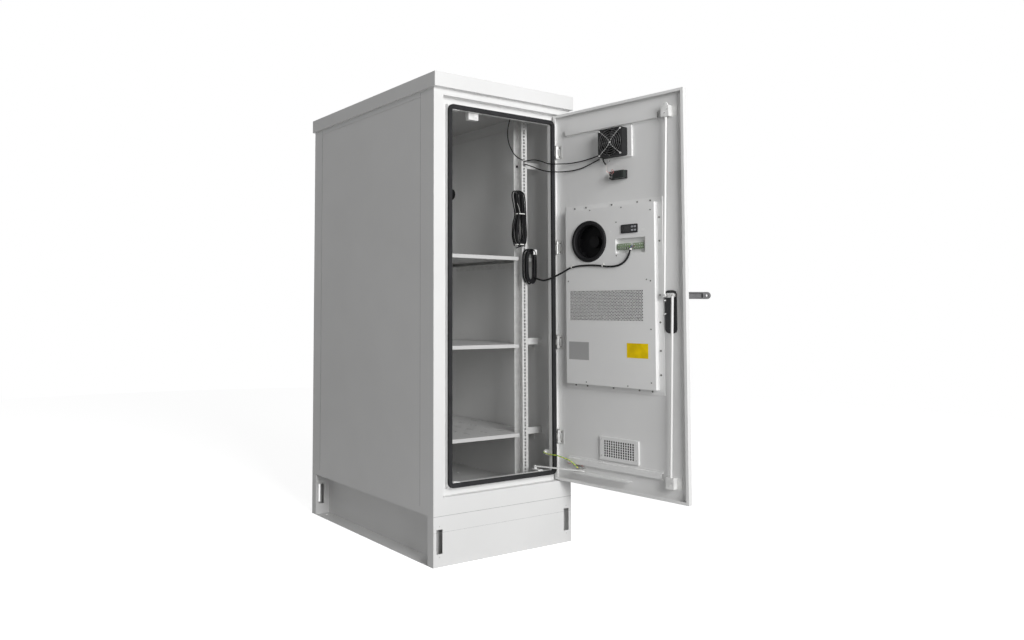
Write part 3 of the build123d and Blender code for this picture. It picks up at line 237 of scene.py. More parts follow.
def foam_rubber():
    """Closed-cell seal: near black, with open pores on its face."""
    finish = plain_finish("seal_rubber", (0.018, 0.018, 0.019), 0.75, Specular_IOR_Level=0.3)
    tree = finish.node_tree
    place = tree.nodes.new("ShaderNodeTexCoord")
    pores = tree.nodes.new("ShaderNodeTexVoronoi")
    pores.inputs["Scale"].default_value = 700.0
    tree.links.new(place.outputs["Object"], pores.inputs["Vector"])
    tint(finish, grain(finish, 20.0, 3.0), (0.01, 0.01, 0.011), (0.022, 0.022, 0.024))
    vary_gloss(finish, grain(finish, 40.0, 2.0), 0.65, 0.85)
    emboss(finish, pores.outputs["Distance"], 0.35, 0.0003)
    return finish


body_coat = powder_coat("body_coat", (0.8, 0.8, 0.795))
door_coat = powder_coat("door_coat", (0.8, 0.8, 0.795))
cover_coat = powder_coat("cover_coat", (0.84, 0.84, 0.835), texture=0.18, grain_size=0.0008)
# The shelves, rear panel, floor pan and ceiling get the body's powder coat made darker, as painted shade for
# the inside of the cabinet.
painted_shade_shelf_coat = powder_coat("painted_shade_shelf_coat", (0.62, 0.62, 0.615))
painted_shade_inner_coat = powder_coat("painted_shade_inner_coat", (0.57, 0.57, 0.565))
rail_zinc = zinc_plate("rail_zinc", (0.77, 0.77, 0.76), metallic=0.1)
hinge_zinc = zinc_plate("hinge_zinc", (0.76, 0.76, 0.75), metallic=0.5)
rod_white = powder_coat("rod_white", (0.83, 0.83, 0.82), texture=0.05, roughness=(0.28, 0.36))
screw_zinc = zinc_plate("screw_zinc", (0.62, 0.62, 0.61), (0.2, 0.34), metallic=0.9)
# A zinc made darker than the plain screw zinc, as painted shade on the screw heads.
painted_shade_screw = zinc_plate("painted_shade_screw", (0.16, 0.16, 0.155), (0.3, 0.42), metallic=0.6)
guard_wire = zinc_plate("guard_wire", (0.64, 0.64, 0.63), (0.22, 0.32), metallic=0.7)
guard_dark = zinc_plate("guard_dark", (0.2, 0.2, 0.2), (0.35, 0.5), metallic=0.4)
spindle_zinc = zinc_plate("spindle_zinc", (0.5, 0.5, 0.5), metallic=0.9)
lever_grey = zinc_plate("lever_grey", (0.045, 0.045, 0.047), (0.34, 0.48), metallic=0.25)
fan_black = moulded_plastic("fan_black", (0.013, 0.013, 0.014), (0.5, 0.65), specular=0.3)
wheel_black = moulded_plastic("wheel_black", (0.008, 0.008, 0.009), (0.5, 0.65), specular=0.2)
bezel_black = moulded_plastic("bezel_black", (0.016, 0.016, 0.018), (0.3, 0.42), specular=0.35)
dish_black = moulded_plastic("dish_black", (0.022, 0.022, 0.024), (0.38, 0.52), specular=0.35)
lamp_white = moulded_plastic("lamp_white", (0.82, 0.82, 0.81), (0.35, 0.48), texture=0.1)
guide_white = moulded_plastic("guide_white", (0.78, 0.78, 0.77), (0.35, 0.5), texture=0.1)
key_grey = moulded_plastic("key_grey", (0.35, 0.36, 0.38), (0.4, 0.5))
block_green = moulded_plastic("block_green", (0.23, 0.31, 0.19), (0.35, 0.5))
seal_rubber = foam_rubber()
cable_black = sheath("cable_black", (0.007, 0.007, 0.008), (0.5, 0.65), specular=0.22)
earth_sheath = earth_stripes()
tie_white = moulded_plastic("tie_white", (0.75, 0.75, 0.72), (0.35, 0.5), texture=0.1)
plate_blank = powder_coat("plate_blank", (0.42, 0.42, 0.42), texture=0.08, drift=0.05)
plate_yellow = moulded_plastic("plate_yellow", (0.9, 0.62, 0.003), (0.5, 0.6), texture=0.03, specular=0.15)
port_dark = moulded_plastic("port_dark", (0.02, 0.02, 0.02), specular=0.25)
# Near-black matt plastic for the vent's filter mat and for the disc behind the fan, which is painted shade.
filter_and_shade_dark = moulded_plastic("filter_and_shade_dark", (0.012, 0.012, 0.012), (0.8, 0.95), texture=0.6,
                              grain_size=0.002, specular=0.1)
display_dark = moulded_plastic("display_dark", (0.006, 0.006, 0.007), (0.08, 0.14), texture=0.02)
dial_green = moulded_plastic("dial_green", (0.013, 0.018, 0.016), (0.35, 0.5), specular=0.35)
sticker_white = moulded_plastic("sticker_white", (0.83, 0.83, 0.82), (0.4, 0.5), texture=0.05)
# A mid grey for thin strips that are painted shade along joints and folds.
seam_shadow_grey = moulded_plastic("seam_shadow_grey", (0.4, 0.4, 0.4), (0.6, 0.75), texture=0.1)
bright_screw = zinc_plate("bright_screw", (0.78, 0.78, 0.77), (0.18, 0.28), metallic=0.7)
pale_screw = powder_coat("pale_screw", (0.62, 0.62, 0.61), texture=0.05)
core_brown = sheath("core_brown", (0.16, 0.05, 0.025))
core_blue = sheath("core_blue", (0.03, 0.1, 0.35))
core_green = sheath("core_green", (0.2, 0.4, 0.06))
lead_pink = sheath("lead_pink", (0.62, 0.25, 0.24))
lead_white = sheath("lead_white", (0.75, 0.74, 0.7))

CAD_FINISHES = {
    body_coat: (
        "plinth_front", "plinth_rear", "plinth_side_left", "plinth_side_right", "front_frame",
        "rear_frame", "side_frames", "side_panel_left", "side_panel_right", "roof_cap"),
    # The interior parts below take the darkened coats that are painted shade.
    painted_shade_inner_coat: ("rear_panel", "floor_pan", "ceiling_panel"),
    door_coat: ("door_panel", "door_stiffeners", "fan_bracket", "vent_grille", "stay_tray"),
    cover_coat: ("ac_cover", "ac_chassis", "ac_outlet_grille"),
    painted_shade_shelf_coat: ("shelf_lower", "shelf_middle", "shelf_upper"),
    rail_zinc: ("rack_rail_left", "rack_rail_right", "rack_rails_rear", "rack_brackets", "stay_bracket"),
    hinge_zinc: ("hinge_frame_halves", "hinge_door_halves"),
    rod_white: ("latch_rod_upper", "latch_rod_lower", "stay_arm"),
    spindle_zinc: ("latch_spindle",),
    guard_wire: ("fan_guard",),
    lever_grey: ("latch_lever",),
    fan_black: ("fan_housing", "fan_rotor", "thermostat"),
    wheel_black: ("ac_blower", "ac_inlet_ring"),
    bezel_black: ("ac_controller",),
    dish_black: ("handle_dish",),
    guide_white: ("rod_guides", "rod_keepers"),
    lamp_white: ("cabinet_lamp",),
    key_grey: ("controller_key_1", "controller_key_2", "controller_key_3", "controller_key_4"),
    block_green: ("ac_terminals",),
    seal_rubber: ("door_gasket",),
    cable_black: ("fan_cable_upper", "fan_cable_lower", "lamp_cable", "ac_cable",
                  "cable_hank_upper", "cable_hank_lower"),
    earth_sheath: ("earth_wire",),
}


def dress_cad():
    for finish, names in CAD_FINISHES.items():
        for name in names:
            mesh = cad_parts[name].data
            mesh.materials.clear()
            mesh.materials.append(finish)


dress_cad()

# Pieces made here


def piece_from(bm, name, finish, body, door=False, smooth=False):
    """Turns a finished bmesh into an object at the origin that rides on a body."""
    if door:
        bmesh.ops.transform(bm, matrix=DOOR_TURN, verts=bm.verts)
    bmesh.ops.recalc_face_normals(bm, faces=bm.faces)
    for face in bm.faces:
        face.smooth = smooth
    mesh = bpy.data.meshes.new(name)
    bm.to_mesh(mesh)
    bm.free()
    mesh.materials.append(finish)
    piece = bpy.data.objects.new(name, mesh)
    bpy.context.collection.objects.link(piece)
    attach(piece, body)
    return piece


def soften(bm, width, segments=2, edges=None):
    bmesh.ops.bevel(bm, geom=edges or bm.edges[:], offset=width, offset_type="OFFSET", segments=segments,
                    profile=0.5, affect="EDGES", clamp_overlap=True, material=-1)


def brick(bm, low, high):
    """A box between two corners, added to a bmesh; returns its vertices."""
    low, high = Vector(low), Vector(high)
    size = high - low
    grow = Matrix.Translation((low + high) / 2) @ Matrix.Diagonal((*size, 1.0))
    return bmesh.ops.create_cube(bm, size=1.0, matrix=grow)["verts"]


def disc(bm, centre, radius, length, axis="Y", segments=24, top=None):
    """A round pillar about its centre along an axis; returns its vertices."""
    turn = {"X": Matrix.Rotation(math.pi / 2, 4, "Y"), "Y": Matrix.Rotation(math.pi / 2, 4, "X"),
            "Z": Matrix.Identity(4)}[axis]
    return bmesh.ops.create_cone(bm, cap_ends=True, segments=segments, radius1=radius,
                                 radius2=radius if top is None else top, depth=length,
                                 matrix=Matrix.Translation(centre) @ turn)["verts"]


# Cables


def route_curve(name, points):
    """A NURBS curve on the route's points; its order comes after the points."""
    data = bpy.data.curves.new(name, "CURVE")
    data.dimensions = "3D"
    data.resolution_u = 10
    line = data.splines.new("NURBS")
    line.points.add(len(points) - 1)
    for point, place in zip(line.points, points):
        point.co = (*place, 1.0)
    line.order_u = 3
    line.use_endpoint_u = True
    curve = bpy.data.objects.new(name, data)
    bpy.context.collection.objects.link(curve)
    return curve


def centre_line(curve):
    """The points of a curve with no bevel, in order along it."""
    bpy.context.view_layer.update()
    graph = bpy.context.evaluated_depsgraph_get()
    mesh = bpy.data.meshes.new_from_object(curve.evaluated_get(graph))
    line = [vertex.co.copy() for vertex in mesh.vertices]
    bpy.data.meshes.remove(mesh)
    return line


def thicken(curve, diameter):
    curve.data.bevel_depth = diameter / 2
    curve.data.bevel_resolution = 3
    curve.data.use_fill_caps = True


def free_cord(name, points, diameter, finish, body, nodes=()):
    """A cord that stays on one body, kept as a curve."""
    curve = route_curve(name, points)
    line = centre_line(curve)
    thicken(curve, diameter)
    curve.data.materials.append(finish)
    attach(curve, body)
    if nodes:
        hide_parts(*nodes)
    return curve


def crossing_cord(name, points, diameter, finish, start, end, node):
    """A cord from the cabinet to the door: a mesh tube on the spline's own line, with its door end laid where
    the open door stands.
    """
    curve = route_curve(name + "_line", points)
    line = centre_line(curve)
    thicken(curve, diameter)
    bpy.context.view_layer.update()
    graph = bpy.context.evaluated_depsgraph_get()
    mesh = bpy.data.meshes.new_from_object(curve.evaluated_get(graph))
    bpy.data.objects.remove(curve)
    mesh.materials.clear()
    mesh.materials.append(finish)
    for face in mesh.polygons:
        face.use_smooth = True
    tube = bpy.data.objects.new(name, mesh)
    bpy.context.collection.objects.link(tube)
    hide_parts(node)
    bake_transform(tube)
    return tube


FAN_SIDE_X = FAN_X + FAN_SIZE / 2 + 0.8
FAN_PLATE_EDGE = 79.0 + 1.2
RAIL = RAIL_Y / MM

UPPER_FAN_ROUTE = [
    inside(226, RAIL - 2.8, 1702), inside(255, -410, 1713), inside(268, -456, 1701), inside(271, -496, 1683),
    inside(273, -526, 1676), inside(289, -551, 1674), on_door(240, 14, 1673), on_door(184, 14, 1673),
    on_door(122, 14, 1678), on_door(FAN_SIDE_X, 14, 1690)]
LOWER_FAN_ROUTE = [
    inside(226, RAIL - 2.8, 1693), inside(254, -412, 1682), inside(267, -448, 1662), inside(271, -495, 1647),
    inside(273, -526, 1641), inside(289, -551, 1638), on_door(240, 9, 1639), on_door(184, 8, 1642),
    on_door(134, 8, 1654), on_door(FAN_PLATE_EDGE, 8, 1672)]
LAMP_ROUTE = [
    inside(163, -397, CEILING_Z / MM - 1.2), inside(130, -397, 1865), inside(122, -397, 1800),
    inside(150, -397, 1740), inside(190, -394, 1713), inside(224, RAIL - 2.8, 1710)]
AC_ROUTE = [
    inside(262, RAIL - 34.6, 1170), inside(267, -462, 1153), inside(268, -512, 1161), inside(278, -541, 1174),
    on_door(255, 34.5, 1192), on_door(223, 33.5, 1209), on_door(164, 33.5, 1216), on_door(89.5, 33.5, 1215),
    on_door(25.5, 33.5, 1205), on_door(-34, 33.5, 1208), on_door(-75.5, 33.5, 1239),
    on_door(-84.5, 33.5, 1278)]
EARTH_ROUTE = [
    inside(263.8, -470, 392), inside(268, -500, 385), inside(276, -530, 388), inside(293, -565, 380),
    on_door(227, 24, 367), on_door(211, 8, 340)]


def run_cables():
    """The four cables that cross the hinge, then the lamp's lead."""
    bend = (Vector((0.272, -0.505, 1.2)), Vector((0.292, -0.56, 1.2)))
    crossing_cord("fan_cable_top", UPPER_FAN_ROUTE, 0.005, cable_black, *bend, "fan_cable_upper")
    crossing_cord("fan_cable_bottom", LOWER_FAN_ROUTE, 0.005, cable_black, *bend, "fan_cable_lower")
    crossing_cord("cooler_cable", AC_ROUTE, 0.008, cable_black, *bend, "ac_cable")
    crossing_cord("earth_lead", EARTH_ROUTE, 0.005, earth_sheath, *bend, "earth_wire")
    free_cord("lamp_lead", LAMP_ROUTE, 0.005, cable_black, "cabinet", ("lamp_cable",))


run_cables()

# Small parts that repeat


def screw(bm, place, out=INWARD, radius=3.0, height=1.6):
    """A pan head that stands on a face, with a recess in its top; sizes in millimetres."""
    out = Vector(out)
    turn = out.to_track_quat("Z", "Y").to_matrix().to_4x4()
    centre = Vector(place) + out * (height / 2 - 0.15) * MM
    head = bmesh.ops.create_cone(
        bm, cap_ends=True, segments=12, radius1=radius * MM, radius2=radius * 0.74 * MM,
        depth=(height + 0.3) * MM, matrix=Matrix.Translation(centre) @ turn)["verts"]
    caps = head[0].link_faces[:] + head[1].link_faces[:] + head[-1].link_faces[:]
    top = max(caps, key=lambda face: face.calc_center_median().dot(out))
    bmesh.ops.inset_region(bm, faces=[top], thickness=radius * 0.36 * MM, use_even_offset=True)
    bmesh.ops.translate(bm, verts=top.verts, vec=-out * height * 0.5 * MM)


def ring(bm, centre, axis, radius, thick, wide=None, sides=8, steps=40):
    """A closed hoop about an axis: round wire, or a flat strap when it has four sides."""
    centre, axis = Vector(centre), Vector(axis)
    arm = axis.orthogonal().normalized()
    frame_turn = Matrix((arm, axis, arm.cross(axis))).transposed().to_4x4()
    half = math.pi / sides
    grow = 1.0 / math.cos(half)
    fit = Matrix.Diagonal((thick / 2 * grow * MM, (wide or thick) / 2 * grow * MM, MM, 1.0))
    lie = Matrix.Translation(centre + arm * radius * MM) @ frame_turn @ fit @ Matrix.Rotation(half, 4, "Z")
    verts = bmesh.ops.create_circle(bm, cap_ends=False, segments=sides, radius=1.0, matrix=lie)["verts"]
    edges = list(dict.fromkeys(edge for vertex in verts for edge in vertex.link_edges))
    bmesh.ops.spin(bm, geom=verts + edges, cent=centre, axis=axis, angle=2 * math.pi, steps=steps,
                   use_merge=True)


def wire(bm, points, diameter):
    """A bent wire along a smooth route, added to a bmesh as a closed tube."""
    curve = route_curve("wire_line", points)
    curve.data.bevel_depth = diameter / 2
    curve.data.bevel_resolution = 2
    curve.data.use_fill_caps = True
    bpy.context.view_layer.update()
    graph = bpy.context.evaluated_depsgraph_get()
    mesh = bpy.data.meshes.new_from_object(curve.evaluated_get(graph))
    bm.from_mesh(mesh)
    bpy.data.objects.remove(curve)
    bpy.data.meshes.remove(mesh)


def fixings(name, places, body="door", out=INWARD, radius=3.0, height=1.6, finish=None):
    """Alike screws on one face; their places are on the shut door when they ride on it."""
    bm = bmesh.new()
    for place in places:
        screw(bm, place, out, radius, height)
    return piece_from(bm, name, finish or screw_zinc, body, door=body == "door")


def tiles(name, boxes, finish, body="door", edge=0.0):
    """Thin blocks between pairs of corners, as one piece."""
    bm = bmesh.new()
    for low, high in boxes:
        brick(bm, low, high)
    if edge:
        soften(bm, edge * MM)
    return piece_from(bm, name, finish, body, door=body == "door")


# Cooling unit on the door


def hole_cell(bm, x, z, width, height, depth, thick, radius, sides=12):
    """One cell of a perforated sheet: a round hole drawn out to its cell's outline."""
    centre = shut(x, depth, z)
    stand = Matrix.Translation(centre) @ Matrix.Rotation(math.pi / 2, 4, "X")
    rim = bmesh.ops.create_circle(bm, cap_ends=False, segments=sides, radius=radius * MM,
                                  matrix=stand)["verts"]
    edges = list(dict.fromkeys(edge for vertex in rim for edge in vertex.link_edges))
    wall = bmesh.ops.extrude_edge_only(bm, edges=edges)["geom"]
    bmesh.ops.translate(bm, verts=[item for item in wall if isinstance(item, bmesh.types.BMVert)],
                        vec=(0.0, -thick * MM, 0.0))
    outline = bmesh.ops.extrude_edge_only(bm, edges=edges)["geom"]
    outer = [item for item in outline if isinstance(item, bmesh.types.BMVert)]
    half_w, half_h = width / 2 * MM, height / 2 * MM
    for vertex in outer:
        across, up = vertex.co.x - centre.x, vertex.co.z - centre.z
        reach = min(half_w / max(abs(across), 1e-9), half_h / max(abs(up), 1e-9))
        vertex.co.x, vertex.co.z = centre.x + across * reach, centre.z + up * reach
    for side_x in (-1, 1):
        for side_z in (-1, 1):
            corner = Vector((centre.x + side_x * half_w, centre.y, centre.z + side_z * half_h))
            min(outer, key=lambda vertex: (vertex.co - corner).length).co = corner


def repeated(pattern, offsets):
    """A bmesh with a copy of a pattern at each offset."""
    mesh = bpy.data.meshes.new("pattern")
    pattern.to_mesh(mesh)
    pattern.free()
    bm = bmesh.new()
    for offset in offsets:
        start = len(bm.verts)
        bm.from_mesh(mesh)
        bm.verts.ensure_lookup_table()
        bmesh.ops.translate(bm, verts=bm.verts[start:], vec=offset)
    bpy.data.meshes.remove(mesh)
    return bm


def outlet_grille():
    """The punched sheet over the outlet: staggered rows of round holes."""
    low_x, high_x, low_z, high_z = -136.8, 230.8, 979.9, 1106.1
    columns, rows, sheet_face = 52, 21, COVER_FACE - 0.5
    width, height = (high_x - low_x) / columns, (high_z - low_z) / rows
    whole = bpy.data.meshes.new("grille_sheet")
    bm = bmesh.new()
    for odd in (0, 1):
        cell = bmesh.new()
        hole_cell(cell, low_x + 0.5 * (1 + odd) * width, low_z + (0.5 + odd) * height, width, height,
                  sheet_face, 1.2, 2.8)
        row = repeated(cell, [(width * column * MM, 0.0, 0.0) for column in range(columns - odd)])
        if odd:
            for x in (low_x, high_x - width / 2):
                brick(row, shut(x, 28.4, low_z + height), shut(x + width / 2, sheet_face, low_z + 2 * height))
        half = repeated(row, [(0.0, 0.0, 2 * height * step * MM) for step in range((rows + 1 - odd) // 2)])
        half.to_mesh(whole)
        half.free()
        bm.from_mesh(whole)
    bpy.data.meshes.remove(whole)
    bmesh.ops.remove_doubles(bm, verts=bm.verts, dist=0.00001)
    sheet = piece_from(bm, "outlet_grille", cover_coat, "door", door=True)
    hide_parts("ac_outlet_grille")
    back = [(shut(low_x + 1, 15.0, low_z + 1), shut(high_x - 1, 16.0, high_z - 1))]
    fins = [(shut(x, 16.0, low_z + 1), shut(x + 0.6, 24.0, high_z - 1)) for x in range(-132, 230, 12)]
    tiles("outlet_fins", back + fins, port_dark)


def cooler_screws():
    """Screws round the cooling unit's flange, and those in the face of its cover."""
    flange = [shut(-200.2, FLANGE_FACE, z) for z in (1397.5, 1302.3, 1084.8, 975.6, 862.3, 766.0)]
    flange += [shut(x, FLANGE_FACE, z) for z in (1469.1, 698.0) for x in (217.3, 157.0, 24.4, -100.3, -160.6)]
    flange += [shut(258.0, FLANGE_FACE, z) for z in (1440.0, 1062.0, 849.0)]
    # The flange and cover screws take the darkened zinc, which is painted shade on their heads.
    fixings("cooler_flange_screws", flange, radius=4.0, height=2.6, finish=painted_shade_screw)
    cover = [(119.4, 1451.6), (-37.9, 1450.6), (-175.4, 1428.5), (-13.2, 1390.4), (-13.2, 1250.2),
             (236.1, 1148.9), (-154.7, 1147.9), (-172.5, 1141.9), (145.1, 716.0), (-61.7, 714.0),
             (-171.5, 734.0), (-172.5, 947.5)]
    fixings("cooler_cover_screws", [shut(x, COVER_FACE, z) for x, z in cover], finish=painted_shade_screw)


def cable_clip(bm_strap, bm_screw, x, z):
    """A nylon clip: a strap round the cable, and a foot with a screw above it."""
    centre = shut(x, 33.5, z)
    ring(bm_strap, centre, ACROSS, 4.6, 1.1, 6.0, sides=4, steps=24)
    brick(bm_strap, shut(x - 3.0, COVER_FACE, z + 3.4), shut(x + 3.0, 30.6, z + 10.5))
    screw(bm_screw, shut(x, 30.6, z + 7.4), radius=2.2, height=1.3)


def cooler_fittings():
    """Clips on the cable, the blank stickers and plates, the test dot and the display's glass."""
    straps, heads = bmesh.new(), bmesh.new()
    cable_clip(straps, heads, 52.1, 1210.5)
    cable_clip(straps, heads, 214.0, 1210.5)
    piece_from(straps, "cable_clips", tie_white, "door", door=True)
    piece_from(heads, "cable_clip_screws", screw_zinc, "door", door=True)
    stickers = [(shut(x - 7.0, 28.9, 1346.5), shut(x + 7.0, 29.25, 1356.5)) for x in (18.5, -140.8)]
    tiles("blank_stickers", stickers, sticker_white)
    tiles("rating_plate_blank", [(shut(130.2, 28.9, 810.2), shut(235.1, 29.35, 886.4))], plate_blank)
    tiles("caution_plate_blank", [(shut(-158.6, 28.9, 829.3), shut(-58.7, 29.35, 889.4))], plate_yellow)
    bm = bmesh.new()
    disc(bm, shut(86.7, 29.1, 881.4), 4.0 * MM, 0.5 * MM)
    piece_from(bm, "test_dot", sticker_white, "door", door=True)
    tiles("display_glass", [(shut(-82.0, 32.8, 1346.0), shut(-43.0, 33.25, 1372.0))], display_dark, edge=0.2)


def terminal_details():
    """Screws on the terminal blocks, the ferrule at the cable's end and its three cores."""
    heads = bmesh.new()
    for x in range(-144, -12, 11):
        for z in (1281.0, 1293.0):
            screw(heads, shut(x, POCKET_BLOCK_FACE, z), radius=2.4, height=0.9)
    piece_from(heads, "terminal_screws", screw_zinc, "door", door=True)
    bm = bmesh.new()
    disc(bm, shut(-84.5, 33.5, 1274.0), 5.4 * MM, 7.0 * MM, "Z", 20)
    piece_from(bm, "cable_ferrule", tie_white, "door", door=True)
    for name, end, finish in (("core_brown", -100.0, core_brown), ("core_blue", -89.0, core_blue),
                              ("core_green", -78.0, core_green)):
        lean = end + 89.0
        bm = bmesh.new()
        wire(bm, [shut(-84.5 + lean * 0.15, 33.5, 1276), shut(-84.5 + lean * 0.3, 33.0, 1283),
                  shut(end, 31.0, 1286), shut(end, 27.5, 1287)], 0.0024)
        piece_from(bm, name, finish, "door", door=True, smooth=True)


# Fan, thermostat and wiring at the top of the door

def fan_finger_guard():
    """Thin rings on two bent stays, with an eye at each of their ends, and behind them a dark disc that is
    painted shade for the fan's inside.
    """
    bm = bmesh.new()
    centre = shut(FAN_X, 50.2, FAN_Z)
    for radius in (14.0, 24.0, 34.0, 44.0, 53.5):
        ring(bm, centre, INWARD, radius, 1.1, sides=6, steps=48)
    piece_from(bm, "finger_guard_rings", guard_dark, "door", door=True, smooth=True)
    bm = bmesh.new()
    for side in (-1, 1):
        eye_x = FAN_X + side * FAN_EYE
        points = [shut(eye_x, 51.4, FAN_Z + FAN_EYE), shut(FAN_X + side * 7.5, 51.4, FAN_Z + 15.5),
                  shut(FAN_X + side * 1.2, 51.4, FAN_Z), shut(FAN_X + side * 7.5, 51.4, FAN_Z - 15.5),
                  shut(eye_x, 51.4, FAN_Z - FAN_EYE)]
        wire(bm, points, 0.0014)
        for up in (-1, 1):
            ring(bm, shut(eye_x, 51.0, FAN_Z + up * FAN_EYE), INWARD, 3.2, 1.5, sides=6, steps=20)
    guard = piece_from(bm, "finger_guard", guard_wire, "door", door=True, smooth=True)
    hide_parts("fan_guard")
    # A dark disc behind the fan is painted shade for the inside of the fan.
    bm = bmesh.new()
    disc(bm, shut(FAN_X, 8.6, FAN_Z), 56.0 * MM, 1.6 * MM, segments=48)
    piece_from(bm, "fan_shade_disc", filter_and_shade_dark, "door", door=True)
    corners = [shut(FAN_X + across * FAN_EYE, 50.0, FAN_Z + up * FAN_EYE)
               for across in (-1, 1) for up in (-1, 1)]
    fixings("fan_screws", corners, radius=3.4, height=2.1, finish=bright_screw)
    fixings("fan_plate_screw", [shut(28.3, 11.0, 1656.0)], radius=3.2, height=2.0)


def thermostat_switch():
    """Black terminal half toward the hinge, dark green dial half with its knob, and screws in the terminals.
    """
    tiles("thermostat_base", [(shut(-53.0, 2.2, 1573.3), shut(21.5, 14.0, 1607.7))], fan_black, edge=0.8)
    terminals = [(shut(1.5, 14.0, 1575.0), shut(20.5, 27.0, 1606.0))]
    tiles("thermostat_terminals", terminals, fan_black, edge=0.6)
    block = tiles("thermostat_dial_block", [(shut(-52.5, 13.6, 1574.0), shut(0.5, 31.8, 1607.0))], dial_green,
                  edge=1.2)
    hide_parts("thermostat")
    bm = bmesh.new()
    disc(bm, shut(-27.0, 33.4, 1590.0), 11.5 * MM, 4.6 * MM, segments=32, top=10.6 * MM)
    brick(bm, shut(-28.0, 35.0, 1580.5), shut(-26.0, 36.0, 1599.5))
    piece_from(bm, "thermostat_knob", fan_black, "door", door=True)
    heads = [shut(6.0, 27.0, z) for z in (1579.5, 1586.5, 1594.0, 1601.5)]
    heads += [shut(15.0, 27.0, z) for z in (1583.0, 1598.0)]
    fixings("thermostat_screws", heads, radius=2.2, height=0.9, finish=bright_screw)


def door_wiring():
    """The fan's sleeve, and its thin leads to the thermostat's terminals."""
    bm = bmesh.new()
    wire(bm, [shut(58, 14, 1672), shut(61, 12, 1665), shut(56, 13, 1655), shut(46, 17, 1645),
              shut(42, 20, 1640)], 0.0062)
    piece_from(bm, "lead_sleeve", cable_black, "door", door=True, smooth=True)
    door_lead("lead_pink", lead_pink, 0.0018, [(43, 19, 1641), (38, 21, 1636), (37, 23, 1621), (30, 29, 1608),
                                               (17, 31, 1604), (15, 27.3, 1599)])
    door_lead("lead_white", lead_white, 0.0018, [(42, 20, 1641), (35, 24, 1632), (33, 29, 1612),
                                                 (23, 33, 1596), (17, 31, 1588), (15, 27.3, 1584)])
    door_lead("lead_link", lead_pink, 0.0018, [(6, 27.6, 1601), (5, 31, 1610), (0, 34, 1614), (-8, 34, 1606),
                                               (-3, 33.5, 1596), (6, 27.6, 1594)])


def door_lead(name, finish, diameter, points):
    """A short lead on the door, with both its ends in fittings."""
    free_cord(name, [on_door(*point) for point in points], diameter, finish, "door")


# Latch gear


def latch_details():
    """Rollers on the rods, and screws on the guides and the handle box."""
    rods = (("latch_rod_upper", 1816.0, 1843.0), ("latch_rod_lower", 351.0, 333.0))
    for body, guide_z, roller_z in rods:
        bm = bmesh.new()
        disc(bm, shut(LATCH_X, ROD_DEPTH, roller_z), 9.0 * MM, 9.0 * MM, segments=32)
        soften(bm, 0.6 * MM)
        piece_from(bm, body + "_roller", guide_white, body, door=True)
        fixings(body + "_guide_screws", [shut(LATCH_X - 11, GUIDE_FACE, guide_z + 6),
                                         shut(LATCH_X + 1, GUIDE_FACE, guide_z - 7)])
    fixings("handle_box_screws", [shut(-226.9, 10.0, z) for z in (1062.8, 1009.6)], radius=4.2, height=2.6,
            finish=bright_screw)


# Vent, hinges, louvres, frame and earth


def hinge_screws():
    """Two screws in the door leaf of each of the four hinges."""
    door_leaf = [shut(301.0, 4.0, z + rise) for z in HINGE_HEIGHTS for rise in (-20.0, 20.0)]
    # The hinge screws take the darkened zinc, which is painted shade on their heads.
    fixings("hinge_door_screws", door_leaf, radius=3.6, height=1.8, finish=painted_shade_screw)


def vent_details():
    """A dark filter mat behind the vent's holes, and the vent's four screws."""
    tiles("vent_filter", [(shut(-88.0, 4.0, 402.0), shut(87.0, 7.4, 486.0))], filter_and_shade_dark)
    fixings("vent_screws", [shut(84.7, VENT_FACE, 480.5), shut(-86.4, VENT_FACE, 475.5),
                            shut(-85.4, VENT_FACE, 413.4), shut(84.7, VENT_FACE, 413.4)],
            radius=2.8, height=1.5)


def louvre_hoods():
    """Sloping hoods over the air slots in the door's outer face, above and below."""
    bm = bmesh.new()
    for low_x, high_x, middle, rows, pitch in ((-55.5, 54.5, 1727.0, 5, 21.0), (-75.5, 74.5, 444.0, 4, 20.0)):
        for row in range(rows):
            z = middle + (row - (rows - 1) / 2) * pitch
            hood = brick(bm, shut(low_x, -1.5, z - 4.0), shut(high_x, 0.2, z + 6.5))
            lip = [vertex for vertex in hood if vertex.co.z < z * MM]
            bmesh.ops.translate(bm, verts=lip, vec=(0.0, -9.0 * MM, 0.0))
    piece_from(bm, "louvre_hoods", door_coat, "door", door=True)


